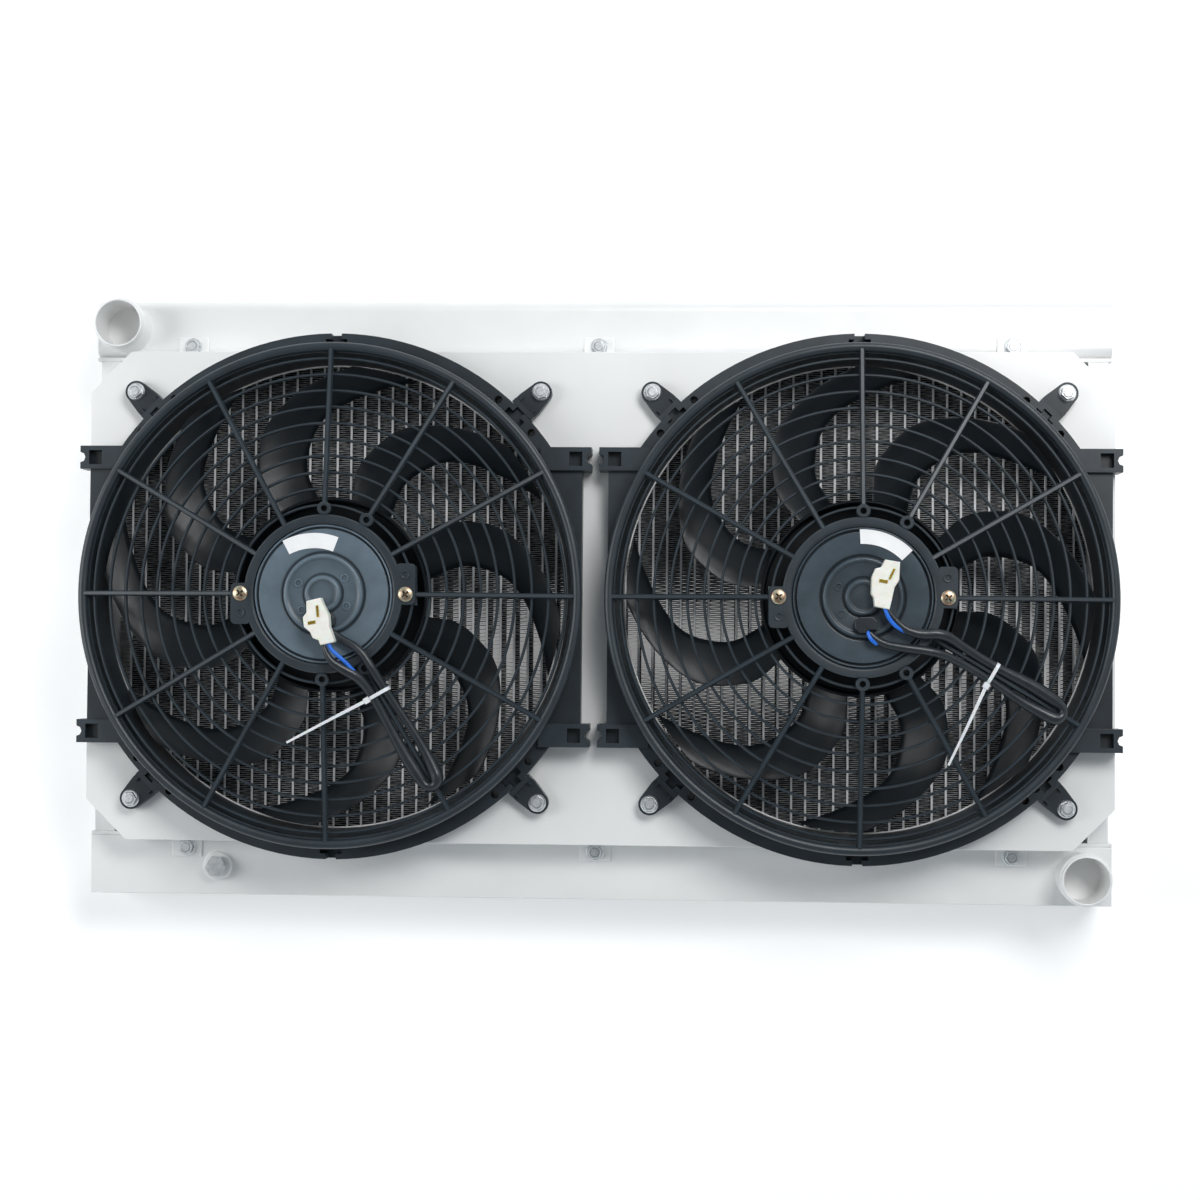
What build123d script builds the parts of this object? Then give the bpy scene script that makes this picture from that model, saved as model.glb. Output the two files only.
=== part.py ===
# An aluminium car radiator with a folded fan shroud and two slim electric fans, lying on its back.
# X runs along the tanks, Y from the bottom tank to the top tank, and Z from the back to the fans.
# The origin is under the middle of the radiator, in the plane that it rests on.

import os
from math import cos, radians, sin, tan

from build123d import *

os.makedirs("parts", exist_ok=True)

# Core: flat tubes from tank to tank, with a pack of fins in each gap
tube_pitch = 11.0
tube_width = 2.0
tube_depth = 42.0
fin_depth = 38.0

# Tanks, headers and side channels
tank_height = 46.0
tank_depth = 52.0
tank_wall = 3.0
tank_corner = 9.0
header_thickness = 3.0
header_overhang = 3.0
channel_width = 16.0
channel_wall = 2.0

# Hose necks and drain plug
neck_radius = 19.0
neck_wall = 1.5
neck_length = 32.0
neck_from_end = 25.0
bead_height = 1.5
bead_width = 5.0
bead_from_end = 3.0
plug_from_end = 103.0
plug_radius = 6.0
plug_depth = 6.0
plug_head = 15.0
plug_head_height = 7.0
plug_boss_radius = 11.0
plug_boss_height = 5.0
thread_clearance = 0.2

# Shroud: a shallow folded pan that stands on the tanks and side channels
shroud_side_margin = 38.5
shroud_end_margin = 33.0
shroud_lap = 4.0
shroud_rise = 26.0
shroud_sheet = 1.5
shroud_corner = 32.0
shroud_hole_radius = 180.0
shroud_tab_width = 24.0
shroud_tab_reach = 15.0
shroud_tab_across = 325.0

# Bolts
bolt_radius = 3.0
bolt_hole_radius = 3.3
bolt_head_width = 12.0
bolt_head_height = 5.5
bolt_tail = 9.0

# Small round holes and pins have flat sides, which keeps the model light
pin_sides = 8
bush_sides = 12

# Fans: where they stand, and the levels of each one above the front of the shroud
fan_spacing = 405.0
flange_top = 16.0
ring_base = 36.0
ring_top = 41.0
hub_top = 62.0

# Fan housing
venturi_radius = 181.0
venturi_mouth = 186.0
barrel_radius = 190.0
flange_radius = 204.0
side_plate_width = 385.0
side_plate_height = 231.0
rail_height = 18.0
rail_top = 20.0
rail_reach = 7.0
rail_inner = 160.0
rail_socket_length = 10.0
rail_socket_width = 11.0
rail_socket_depth = 7.0
rail_socket_from_end = 12.0
rail_notch_radius = 4.0

# Sockets in the flange and the feet that slide into them
socket_neck_length = 4.5
socket_neck_width = 8.0
socket_head_length = 5.0
socket_head_width = 17.0
foot_angles = (45, 135, 225, 315)
spare_socket_angles = (90, 270)
spare_socket_floor = 4.0
foot_clearance = 0.3
foot_width = 21.0
foot_bolt_radius = 225.0
foot_end_radius = 8.6
foot_thickness = 9.0
foot_bar_length = 4.0
foot_bar_height = 2.5
foot_rib_length = 4.0
foot_rib_width = 1.2
foot_rib_spacing = 13.6
flange_hole_at = 197.5
flange_hole_offset = 18.2
flange_hole_radius = 3.2

# Grille: an outer ring, thin hoops, spokes that climb to the hub, and the ring that holds the motor
ring_outer = 194.0
ring_inner = 187.0
ring_bevel = 1.5
hoop_count = 10
hoop_outer = 182.6
hoop_pitch = 12.7
hoop_width = 2.1
hoop_depth = 3.0
hoop_gap = 0.1
hoop_sides = 24
spoke_count = 12
spoke_width = 4.0
spoke_root = 59.0
spoke_depth = 4.0
hub_outer = 60.0
hub_inner = 53.0
hub_depth = 9.0
lobe_at = 64.5
lobe_radius = 5.2
lobe_hole_radius = 2.3
lobe_angles = (60, 90, 270, 300)
ear_length = 31.0
ear_width = 16.0
ear_at = 62.3
ear_offset = 7.7
screw_at = 62.7

# Motor: can, end cover, magnets, bushes and screws
can_radius = 50.0
can_wall = 2.0
can_back = 16.0
can_front = 57.0
can_ear_thickness = 2.0
cover_rim = 52.5
cover_face = 59.0
cover_step_radius = 29.5
cover_step = 60.5
cover_boss_radius = 13.2
cover_boss = 64.0
bush_radius = 8.0
bush_length = 5.0
magnet_thickness = 4.5
magnet_length = 26.0
magnet_angle = 130.0
magnet_from_back = 8.0
screw_radius = 2.4
screw_hole_radius = 2.6
screw_head_radius = 5.7
screw_head_height = 2.6
screw_length = 13.0

# Turning parts: shaft, armature and fan
shaft_radius = 4.0
shaft_running_gap = 0.06
shaft_back = 2.0
shaft_end_gap = 1.0
armature_gap = 0.8
armature_slots = 12
armature_slot_width = 5.0
armature_slot_depth = 16.0
rotor_back = 4.0
rotor_floor = 2.5
rotor_hub_radius = 75.0
rotor_hub_wall = 2.5
rotor_hub_front = 32.0
rotor_boss_radius = 10.0
rotor_boss_front = 14.0
blade_count = 8
blade_thickness = 2.6
rotor_turns = {"left": 22.0, "right": 27.5}

# Lead, its cap on the motor, its plug, and the tie that holds it to a spoke
lead_radius = 2.75
cap_length = 17.0
cap_width = 12.0
cap_height = 6.0
cap_corner = 3.5
cap_mouth_length = 6.5
cap_mouth_depth = 2.3
cap_mouth_shift = 4.1
cap_centre = (2.0, -20.5)
plug_length = 34.0
plug_width = 18.0
plug_thickness = 10.0
plug_tail_width = 13.6
plug_tail_length = 8.0
plug_nose_width = 12.0
plug_nose_length = 9.0
plug_socket_width = 11.0
plug_socket_height = 7.5
plug_socket_depth = 2.3
terminal_width = 3.0
terminal_spacing = 6.0
terminal_thickness = 1.2
terminal_length = 8.0
tie_width = 2.6
tie_thickness = 1.2
tie_head = 5.0

# Leads: each one's route from its cap to its plug, from its fan's axis and the front of the shroud
lead_routes = {
    "left": (
        (4.5, -26.5, 63.5),
        (12.0, -33.0, 63.6),
        (29.0, -41.0, 65.4),
        (39.3, -57.0, 65.4),
        (47.6, -72.2, 57.1),
        (61.9, -93.6, 52.6),
        (74.8, -113.9, 48.4),
        (82.8, -130.0, 46.5),
        (86.9, -139.5, 47.1),
        (83.7, -145.0, 47.3),
        (77.3, -145.0, 47.1),
        (71.4, -136.6, 46.5),
        (61.7, -121.4, 48.5),
        (50.4, -100.2, 52.6),
        (38.7, -77.3, 57.1),
        (29.3, -62.8, 65.4),
        (17.0, -56.5, 68.5),
        (5.5, -49.0, 71.5),
        (2.0, -36.5, 71.5),
    ),
    "right": (
        (4.5, -26.5, 63.5),
        (11.0, -34.0, 64.2),
        (30.0, -37.5, 65.3),
        (53.2, -39.9, 65.2),
        (70.1, -46.6, 57.8),
        (94.2, -60.3, 52.7),
        (117.6, -76.2, 47.8),
        (135.4, -85.5, 45.5),
        (144.6, -89.9, 46.1),
        (150.2, -86.7, 46.3),
        (150.1, -80.3, 46.1),
        (141.9, -74.3, 45.5),
        (124.9, -63.6, 47.8),
        (99.3, -51.4, 52.7),
        (75.5, -37.2, 57.8),
        (58.9, -25.9, 65.4),
        (42.0, -28.0, 65.6),
        (26.0, -22.0, 66.8),
        (15.0, -6.5, 69.0),
    ),
}
plug_headings = {"left": 105.7, "right": 85.8}
lead_side_offset = 5.1
lead_side_lift = -0.5
tie_slack = 0.35
tie_headroom = 1.6
terminal_gap = 0.2
tie_places = (
    ("left", -60, 86.3, (-27.5, -112.5, 54.5)),
    ("right", -30, 111.7, (64.5, -124.5, 50.8)),
)

# Blade: radius, leading and trailing angle, leading and trailing height, from the root to the tip
blade_stations = (
    (74.2, -12.0, 10.5, 8.5, 30.0),
    (98.0, -8.5, 11.5, 8.0, 29.0),
    (120.0, -12.0, 6.5, 8.5, 28.0),
    (140.0, -18.5, 0.0, 9.5, 27.0),
    (160.0, -31.5, -12.5, 10.5, 26.0),
    (177.8, -42.5, -26.5, 11.5, 25.0),
)

# Label: a bare white sticker on each motor
label_inner = 40.0
label_outer = 51.5
label_span = 49.0
label_thickness = 0.3

# Worked-out places
foot_reach = foot_bolt_radius * cos(radians(45))
shroud_width = 2 * (fan_spacing / 2 + foot_reach + shroud_side_margin)
shroud_height = 2 * (foot_reach + shroud_end_margin)
fin_gap = tube_pitch - tube_width
tube_length = shroud_height - 2 * shroud_lap
tube_count = round((shroud_width - 2 * channel_width + tube_width) / tube_pitch) - 1
core_width = (tube_count + 1) * tube_pitch - tube_width
core_back = (tank_depth - tube_depth) / 2
fin_back = (tank_depth - fin_depth) / 2
tank_inner = tube_length / 2 + header_thickness
tank_centre = tank_inner + tank_height / 2
channel_outer = core_width / 2 + channel_width
tank_length = 2 * (channel_outer + header_overhang)
neck_across = tank_length / 2 - neck_from_end
plug_across = tank_length / 2 - plug_from_end
shroud_front = tank_depth + shroud_rise
fan_places = {"left": -fan_spacing / 2, "right": fan_spacing / 2}
fan_centres = [(across, 0) for across in fan_places.values()]
spoke_fall = (hub_top - ring_top) / (ring_inner - spoke_root)
bush_front = cover_boss - 1.5
armature_radius = can_radius - can_wall - magnet_thickness - armature_gap


def save(piece, name):
    """Label a finished piece and write its STEP file."""
    piece.part.label = name
    export_step(piece.part, f"parts/{name}.step")


def level(height):
    """The plane that lies this far above the front of the shroud."""
    return Plane.XY.offset(shroud_front + height)


def fan_level(across, height):
    """The same plane, with its origin on a fan's axis."""
    return Plane((across, 0, shroud_front + height))


def fan_section(across, angle=0.0):
    """The upright plane through a fan's axis: its X points outward at this angle, its Y points up."""
    turn = radians(angle)
    return Plane(
        origin=(across, 0, shroud_front),
        x_dir=(cos(turn), sin(turn), 0),
        z_dir=(sin(turn), -cos(turn), 0),
    )


def fan_axis(across):
    """The axis that a fan turns on."""
    return Axis((across, 0, 0), (0, 0, 1))


def spoke_top(radius):
    """Height of a spoke's front edge above the shroud, this far from the fan's axis."""
    return hub_top - spoke_fall * (radius - spoke_root)


# Core
with BuildPart() as core_tubes:
    with BuildSketch(Plane.XY.offset(core_back)):
        with GridLocations(tube_pitch, 1, tube_count, 1):
            Rectangle(tube_width, tube_length)
    extrude(amount=tube_depth)
save(core_tubes, "core_tubes")

with BuildPart() as fin_packs:
    with BuildSketch(Plane.XY.offset(fin_back)):
        with GridLocations(tube_pitch, 1, tube_count + 1, 1):
            Rectangle(fin_gap, tube_length)
    extrude(amount=fin_depth)
save(fin_packs, "fin_packs")

# Headers and tanks
for end, way in (("top", 1), ("bottom", -1)):
    with BuildPart() as header:
        with BuildSketch(Plane.XY):
            with Locations((0, way * (tank_inner - header_thickness / 2))):
                Rectangle(tank_length, header_thickness)
        extrude(amount=tank_depth)
    save(header, f"{end}_header")

    with BuildPart() as tank:
        with BuildSketch(Plane.YZ.offset(-tank_length / 2)) as section:
            with Locations((way * tank_centre, tank_depth / 2)):
                Rectangle(tank_height, tank_depth)
            fillet(section.vertices().group_by(Axis.Y)[-1 if way > 0 else 0], tank_corner)
        extrude(amount=tank_length)
        mouth = tank.faces().filter_by(Axis.Y).sort_by(Axis.Y)[0 if way > 0 else -1]
        offset(amount=-tank_wall, openings=mouth)
        if end == "bottom":
            with BuildSketch(Plane.XY.offset(tank_depth)):
                with Locations((-plug_across, way * tank_centre)):
                    Circle(plug_boss_radius)
            extrude(amount=plug_boss_height)
            with Locations((-plug_across, way * tank_centre, tank_depth + plug_boss_height)):
                Hole(plug_radius + thread_clearance, depth=plug_boss_height + tank_wall)
        with Locations((-way * neck_across, way * tank_centre, tank_depth)):
            Hole(neck_radius - neck_wall, depth=tank_wall)
    save(tank, f"{end}_tank")

# Side channels, open outward
for side, way in (("left", -1), ("right", 1)):
    with BuildPart() as channel:
        with BuildSketch(Plane.XZ.offset(-tube_length / 2)):
            with Locations((way * (core_width + channel_width) / 2, tank_depth / 2)):
                Rectangle(channel_width, tank_depth)
            with Locations((way * (core_width + channel_width + channel_wall) / 2, tank_depth / 2)):
                Rectangle(channel_width - channel_wall, tank_depth - 2 * channel_wall, mode=Mode.SUBTRACT)
        extrude(amount=tube_length)
    save(channel, f"{side}_side_channel")

# Hose necks: the inlet on the top tank and the outlet on the bottom tank, each with a hose bead
with BuildPart() as hose_necks:
    for across, along in ((-neck_across, tank_centre), (neck_across, -tank_centre)):
        with BuildSketch(Plane((across, along, tank_depth), x_dir=(1, 0, 0), z_dir=(0, -1, 0))):
            with BuildLine():
                Polyline(
                    (neck_radius - neck_wall, 0),
                    (neck_radius, 0),
                    (neck_radius, neck_length - bead_from_end - bead_width),
                    (neck_radius + bead_height, neck_length - bead_from_end - bead_width / 2),
                    (neck_radius, neck_length - bead_from_end),
                    (neck_radius, neck_length),
                    (neck_radius - neck_wall, neck_length),
                    close=True,
                )
            make_face()
        revolve(axis=Axis((across, along, 0), (0, 0, 1)))
save(hose_necks, "hose_necks")

with BuildPart() as drain_plug:
    with BuildSketch(Plane.XY.offset(tank_depth + plug_boss_height)):
        with Locations((-plug_across, -tank_centre)):
            RegularPolygon(plug_head / 2, 6, major_radius=False)
    extrude(amount=plug_head_height)
    with BuildSketch(Plane.XY.offset(tank_depth + plug_boss_height)):
        with Locations((-plug_across, -tank_centre)):
            RegularPolygon(plug_radius, 2 * pin_sides)
    extrude(amount=-plug_depth)
save(drain_plug, "drain_plug")

# Shroud: walls all round, a hole behind each fan, and tabs that are bolted to the tanks
tab_places = [
    (across, way * (shroud_height + shroud_tab_reach) / 2)
    for across in (-shroud_tab_across, 0, shroud_tab_across)
    for way in (-1, 1)
]
with BuildPart() as fan_shroud:
    with BuildSketch(Plane.XY.offset(tank_depth)) as outline:
        Rectangle(shroud_width, shroud_height)
        chamfer(outline.vertices(), shroud_corner)
    extrude(amount=shroud_rise)
    mouth = fan_shroud.faces().sort_by(Axis.Z)[0]
    offset(amount=-shroud_sheet, openings=mouth)
    with BuildSketch(Plane.XY.offset(tank_depth)):
        with Locations(*tab_places):
            Rectangle(shroud_tab_width, shroud_tab_reach)
            RegularPolygon(bolt_hole_radius, pin_sides, major_radius=False, mode=Mode.SUBTRACT)
    extrude(amount=shroud_sheet)
    with BuildSketch(Plane.XY.offset(shroud_front)):
        with Locations(*fan_centres):
            Circle(shroud_hole_radius)
            with PolarLocations(foot_bolt_radius, 4, 45):
                RegularPolygon(bolt_hole_radius, pin_sides, major_radius=False)
    extrude(amount=-shroud_sheet, mode=Mode.SUBTRACT)
save(fan_shroud, "fan_shroud")


def bolt_set(base, places, below):
    """Hexagon bolts: heads on the base plane, shanks reaching this far below it."""
    with BuildPart() as bolts:
        with BuildSketch(base):
            with Locations(*places):
                RegularPolygon(bolt_radius, pin_sides)
        extrude(amount=-below)
        with BuildSketch(base):
            with Locations(*places):
                RegularPolygon(bolt_head_width / 2, 6, major_radius=False)
        extrude(amount=bolt_head_height)
    return bolts


shroud_bolts = bolt_set(Plane.XY.offset(tank_depth + shroud_sheet), tab_places, shroud_sheet)
save(shroud_bolts, "shroud_bolts")

foot_bolt_places = [
    (across + foot_bolt_radius * cos(radians(angle)), foot_bolt_radius * sin(radians(angle)))
    for across in fan_places.values()
    for angle in foot_angles
]
foot_bolts = bolt_set(level(foot_thickness), foot_bolt_places, foot_thickness + bolt_tail)
save(foot_bolts, "foot_bolts")

# Feet: a T-shaped tongue that slides into the housing, a raised bar, and a flat toe under the bolt
neck_start = flange_radius - socket_neck_length
head_start = neck_start - socket_head_length
toe_start = flange_radius + foot_clearance
bar_end = toe_start + foot_bar_length
rib_end = bar_end + foot_rib_length
with BuildPart() as mounting_feet:
    for across in fan_places.values():
        for angle in foot_angles:
            turn = radians(angle)
            base = Plane((across, 0, shroud_front), x_dir=(cos(turn), sin(turn), 0))
            with BuildSketch(base):
                with BuildLine():
                    Polyline(
                        (toe_start, -foot_width / 2),
                        (rib_end, -foot_width / 2),
                        (foot_bolt_radius, -foot_end_radius),
                        (foot_bolt_radius, foot_end_radius),
                        (rib_end, foot_width / 2),
                        (toe_start, foot_width / 2),
                        close=True,
                    )
                make_face()
                with Locations((foot_bolt_radius, 0)):
                    Circle(foot_end_radius)
                with Locations((neck_start, 0)):
                    Rectangle(2 * (toe_start - neck_start), socket_neck_width - 2 * foot_clearance)
                with Locations(((head_start + neck_start) / 2, 0)):
                    Rectangle(
                        socket_head_length - 2 * foot_clearance,
                        socket_head_width - 2 * foot_clearance,
                    )
                with Locations((head_start - socket_head_length / 2, 0)):
                    Rectangle(socket_head_length + 2 * foot_clearance, foot_width, mode=Mode.SUBTRACT)
                with Locations((foot_bolt_radius, 0)):
                    RegularPolygon(bolt_hole_radius, pin_sides, major_radius=False, mode=Mode.SUBTRACT)
            extrude(amount=foot_thickness)
            with BuildSketch(base.offset(foot_thickness)):
                with Locations(((toe_start + bar_end) / 2, 0)):
                    Rectangle(foot_bar_length, foot_width)
                with Locations(*[((bar_end + rib_end) / 2, way * foot_rib_spacing / 2) for way in (-1, 1)]):
                    Rectangle(foot_rib_length, foot_rib_width)
            extrude(amount=foot_bar_height)
save(mounting_feet, "mounting_feet")

# Fan housings
corner_ways = ((-1, -1), (-1, 1), (1, -1), (1, 1))
rail_end = side_plate_width / 2 + rail_reach
rail_middle = (side_plate_height - rail_height) / 2
for side, across in fan_places.items():
    with BuildPart() as fan_housing:
        with BuildSketch(fan_section(across)):
            with BuildLine():
                Polyline(
                    (venturi_radius, 0),
                    (flange_radius, 0),
                    (flange_radius, flange_top),
                    (barrel_radius - 1, flange_top),
                    (barrel_radius, ring_base),
                    (venturi_mouth, ring_base),
                    close=True,
                )
            make_face()
        revolve(axis=fan_axis(across))
        with BuildSketch(fan_level(across, 0)):
            Rectangle(side_plate_width, side_plate_height)
            Circle(barrel_radius - 1, mode=Mode.SUBTRACT)
        extrude(amount=flange_top)
        with BuildSketch(fan_level(across, 0)):
            Rectangle(side_plate_width, 3 * flange_radius)
        extrude(amount=ring_base, mode=Mode.INTERSECT)
        with BuildSketch(fan_level(across, 0)):
            for x_way, y_way in corner_ways:
                with Locations((x_way * (rail_inner + rail_end) / 2, y_way * rail_middle)):
                    Rectangle(rail_end - rail_inner, rail_height)
                with Locations((x_way * rail_end, y_way * rail_middle)):
                    RegularPolygon(rail_notch_radius, pin_sides, mode=Mode.SUBTRACT)
            Circle(barrel_radius - 1, mode=Mode.SUBTRACT)
        extrude(amount=rail_top)
        with BuildSketch(fan_level(across, rail_top)):
            for x_way, y_way in corner_ways:
                with Locations((x_way * (rail_end - rail_socket_from_end), y_way * rail_middle)):
                    Rectangle(rail_socket_length, rail_socket_width)
        extrude(amount=-rail_socket_depth, mode=Mode.SUBTRACT)
        for angle in foot_angles + spare_socket_angles:
            turn = radians(angle)
            slot = Plane((across, 0, shroud_front + flange_top), x_dir=(cos(turn), sin(turn), 0))
            with BuildSketch(slot):
                with Locations((neck_start + socket_neck_length, 0)):
                    Rectangle(2 * socket_neck_length, socket_neck_width)
                with Locations((neck_start - socket_head_length / 2, 0)):
                    Rectangle(socket_head_length, socket_head_width)
                if angle in foot_angles:
                    with Locations(*[(flange_hole_at, way * flange_hole_offset) for way in (-1, 1)]):
                        RegularPolygon(flange_hole_radius, pin_sides)
            floor = spare_socket_floor if angle in spare_socket_angles else 0
            extrude(amount=floor - flange_top, mode=Mode.SUBTRACT)
    save(fan_housing, f"{side}_fan_housing")

# Grilles
hoop_radii = [hoop_outer - hoop_pitch * index for index in range(hoop_count)]
for side, across in fan_places.items():
    with BuildPart() as grille:
        with BuildSketch(fan_section(across)):
            with BuildLine():
                Polyline(
                    (ring_inner, ring_base),
                    (ring_outer, ring_base),
                    (ring_outer - ring_bevel, ring_top),
                    (ring_inner + ring_bevel, ring_top),
                    close=True,
                )
            make_face()
        revolve(axis=fan_axis(across))
        for radius in hoop_radii:
            with BuildSketch(fan_level(across, spoke_top(radius) - spoke_depth - hoop_gap)):
                RegularPolygon(radius, hoop_sides)
                RegularPolygon(radius - hoop_width, hoop_sides, mode=Mode.SUBTRACT)
            extrude(amount=-hoop_depth)
        for index in range(spoke_count):
            with BuildSketch(fan_section(across, index * 360 / spoke_count)):
                with BuildLine():
                    Polyline(
                        (spoke_root, hub_top),
                        (ring_inner + ring_bevel, ring_top),
                        (ring_inner + ring_bevel, ring_base),
                        (ring_inner, ring_top - spoke_depth),
                        (spoke_root, hub_top - spoke_depth),
                        close=True,
                    )
                make_face()
            extrude(amount=spoke_width / 2, both=True)
        with BuildSketch(fan_level(across, hub_top)):
            Circle(hub_outer)
            for angle in lobe_angles:
                with PolarLocations(lobe_at, 1, angle):
                    RegularPolygon(lobe_radius, pin_sides)
            with Locations((ear_at, ear_offset), (-ear_at, -ear_offset)):
                Rectangle(ear_width, ear_length)
            Circle(hub_inner, mode=Mode.SUBTRACT)
            for angle in lobe_angles:
                with PolarLocations(lobe_at, 1, angle):
                    RegularPolygon(lobe_hole_radius, pin_sides, mode=Mode.SUBTRACT)
        extrude(amount=-hub_depth)
        with BuildSketch(fan_level(across, hub_top)):
            with Locations((screw_at, 0), (-screw_at, 0)):
                RegularPolygon(screw_hole_radius, pin_sides, major_radius=False)
        extrude(amount=-hub_depth, mode=Mode.SUBTRACT)
    save(grille, f"{side}_grille")

# Motors
screw_places = [(x + way * screw_at, 0) for x, y in fan_centres for way in (-1, 1)]
with BuildPart() as motor_cans:
    with BuildSketch(level(can_back)):
        with Locations(*fan_centres):
            Circle(can_radius)
    extrude(amount=can_front - can_back)
    with BuildSketch(level(hub_top - hub_depth)):
        with Locations(*fan_centres):
            Rectangle(2 * ear_at + ear_width, ear_width)
        with Locations(*screw_places):
            RegularPolygon(screw_hole_radius, pin_sides, major_radius=False, mode=Mode.SUBTRACT)
    extrude(amount=-can_ear_thickness)
    with BuildSketch(level(can_back + can_wall)):
        with Locations(*fan_centres):
            Circle(can_radius - can_wall)
    extrude(amount=can_front - can_back - can_wall, mode=Mode.SUBTRACT)
    with BuildSketch(level(can_back)):
        with Locations(*fan_centres):
            RegularPolygon(bush_radius, bush_sides)
    extrude(amount=can_wall, mode=Mode.SUBTRACT)
save(motor_cans, "motor_cans")

with BuildPart() as motor_covers:
    for radius, bottom, top in (
        (cover_rim, can_front, cover_face),
        (cover_step_radius, cover_face, cover_step),
        (cover_boss_radius, cover_step, cover_boss),
    ):
        with BuildSketch(level(bottom)):
            with Locations(*fan_centres):
                Circle(radius)
        extrude(amount=top - bottom)
    with BuildSketch(level(can_front)):
        with Locations(*fan_centres):
            RegularPolygon(bush_radius, bush_sides)
    extrude(amount=bush_front - can_front, mode=Mode.SUBTRACT)
save(motor_covers, "motor_covers")

with BuildPart() as motor_magnets:
    for across in fan_places.values():
        half_gap = (180 - magnet_angle) / 2
        wedge_rise = can_radius * tan(radians(half_gap))
        with BuildSketch(fan_level(across, can_back + magnet_from_back)):
            Circle(can_radius - can_wall)
            Circle(can_radius - can_wall - magnet_thickness, mode=Mode.SUBTRACT)
            for way in (-1, 1):
                with BuildLine():
                    Polyline(
                        (0, 0),
                        (way * can_radius, -wedge_rise),
                        (way * can_radius, wedge_rise),
                        close=True,
                    )
                make_face(mode=Mode.SUBTRACT)
        extrude(amount=magnet_length)
save(motor_magnets, "motor_magnets")

# Bushes: one in the back of each can and one under the boss of each cover
with BuildPart() as motor_bushes:
    for height in (can_back, bush_front - bush_length):
        with BuildSketch(level(height)):
            with Locations(*fan_centres):
                RegularPolygon(bush_radius, bush_sides)
                RegularPolygon(
                    shaft_radius + shaft_running_gap, bush_sides, major_radius=False, mode=Mode.SUBTRACT
                )
        extrude(amount=bush_length)
save(motor_bushes, "motor_bushes")

with BuildPart() as motor_screws:
    with BuildSketch(level(hub_top)):
        with Locations(*screw_places):
            RegularPolygon(screw_head_radius, 2 * pin_sides)
    extrude(amount=screw_head_height)
    with BuildSketch(level(hub_top)):
        with Locations(*screw_places):
            RegularPolygon(screw_radius, pin_sides)
    extrude(amount=-screw_length)
save(motor_screws, "motor_screws")

# Turning parts of each fan: the shaft, the armature pressed on it, and the fan itself
for side, across in fan_places.items():
    with BuildPart() as motor_shaft:
        with BuildSketch(fan_level(across, shaft_back)):
            Circle(shaft_radius)
        extrude(amount=bush_front - shaft_end_gap - shaft_back)
    save(motor_shaft, f"{side}_motor_shaft")

    with BuildPart() as armature:
        with BuildSketch(fan_level(across, can_back + magnet_from_back)):
            RegularPolygon(armature_radius, 2 * armature_slots, rotation=180 / (2 * armature_slots))
            with PolarLocations(armature_radius - armature_slot_depth / 2, armature_slots):
                Rectangle(armature_slot_depth + 1, armature_slot_width, mode=Mode.SUBTRACT)
            RegularPolygon(shaft_radius, bush_sides, major_radius=False, mode=Mode.SUBTRACT)
        extrude(amount=magnet_length)
    save(armature, f"{side}_armature")


def blade_shell(stations):
    """A closed blade from stations (radius, leading angle, trailing angle, leading height, trailing height)."""
    corners = []
    for radius, lead_angle, trail_angle, lead_height, trail_height in stations:
        row = []
        for angle, height in ((lead_angle, lead_height), (trail_angle, trail_height)):
            x = radius * cos(radians(angle))
            y = radius * sin(radians(angle))
            row.append(Vector(x, y, height))
            row.append(Vector(x, y, height - blade_thickness))
        corners.append(row)

    def face(*points):
        return Face(Wire.make_polygon(points))

    faces = []
    for near, far in zip(corners, corners[1:]):
        for front in (0, 1):
            faces.append(face(near[front], near[front + 2], far[front + 2]))
            faces.append(face(near[front], far[front + 2], far[front]))
        for edge in (0, 2):
            faces.append(face(near[edge], near[edge + 1], far[edge + 1], far[edge]))
    for row in (corners[0], corners[-1]):
        faces.append(face(row[0], row[2], row[3], row[1]))
    return Solid(Shell(faces))


blade = blade_shell(blade_stations)
for side, across in fan_places.items():
    with BuildPart() as fan_rotor:
        with BuildSketch(fan_section(across)):
            with BuildLine():
                Polyline(
                    (0, rotor_back),
                    (rotor_hub_radius, rotor_back),
                    (rotor_hub_radius, rotor_hub_front),
                    (rotor_hub_radius - rotor_hub_wall, rotor_hub_front),
                    (rotor_hub_radius - rotor_hub_wall, rotor_back + rotor_floor),
                    (0, rotor_back + rotor_floor),
                    close=True,
                )
            make_face()
        revolve(axis=fan_axis(across))
        with BuildSketch(fan_level(across, rotor_back)):
            RegularPolygon(rotor_boss_radius, bush_sides)
        extrude(amount=rotor_boss_front - rotor_back)
        with BuildSketch(fan_level(across, rotor_back)):
            RegularPolygon(shaft_radius, bush_sides, major_radius=False)
        extrude(amount=rotor_boss_front - rotor_back, mode=Mode.SUBTRACT)
        with Locations((across, 0, shroud_front)):
            with PolarLocations(0, blade_count, rotor_turns[side]):
                add(blade)
    save(fan_rotor, f"{side}_fan_rotor")

# Labels: a bare sticker on each motor, the left one put on a little askew
with BuildPart() as rating_labels:
    for side, (shift_x, shift_y), middle in (("left", (-7.0, -5.5), 94.0), ("right", (0, 0), 68.5)):
        centre = fan_level(fan_places[side] + shift_x, cover_face)
        centre = centre.shift_origin(centre.origin + Vector(0, shift_y, 0))
        with BuildSketch(centre):
            with BuildLine():
                outer = CenterArc((0, 0), label_outer, middle - label_span / 2, label_span)
                inner = CenterArc((0, 0), label_inner, middle - label_span / 2, label_span)
                Line(outer @ 0, inner @ 0)
                Line(outer @ 1, inner @ 1)
            make_face()
        extrude(amount=label_thickness)
save(rating_labels, "rating_labels")

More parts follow.
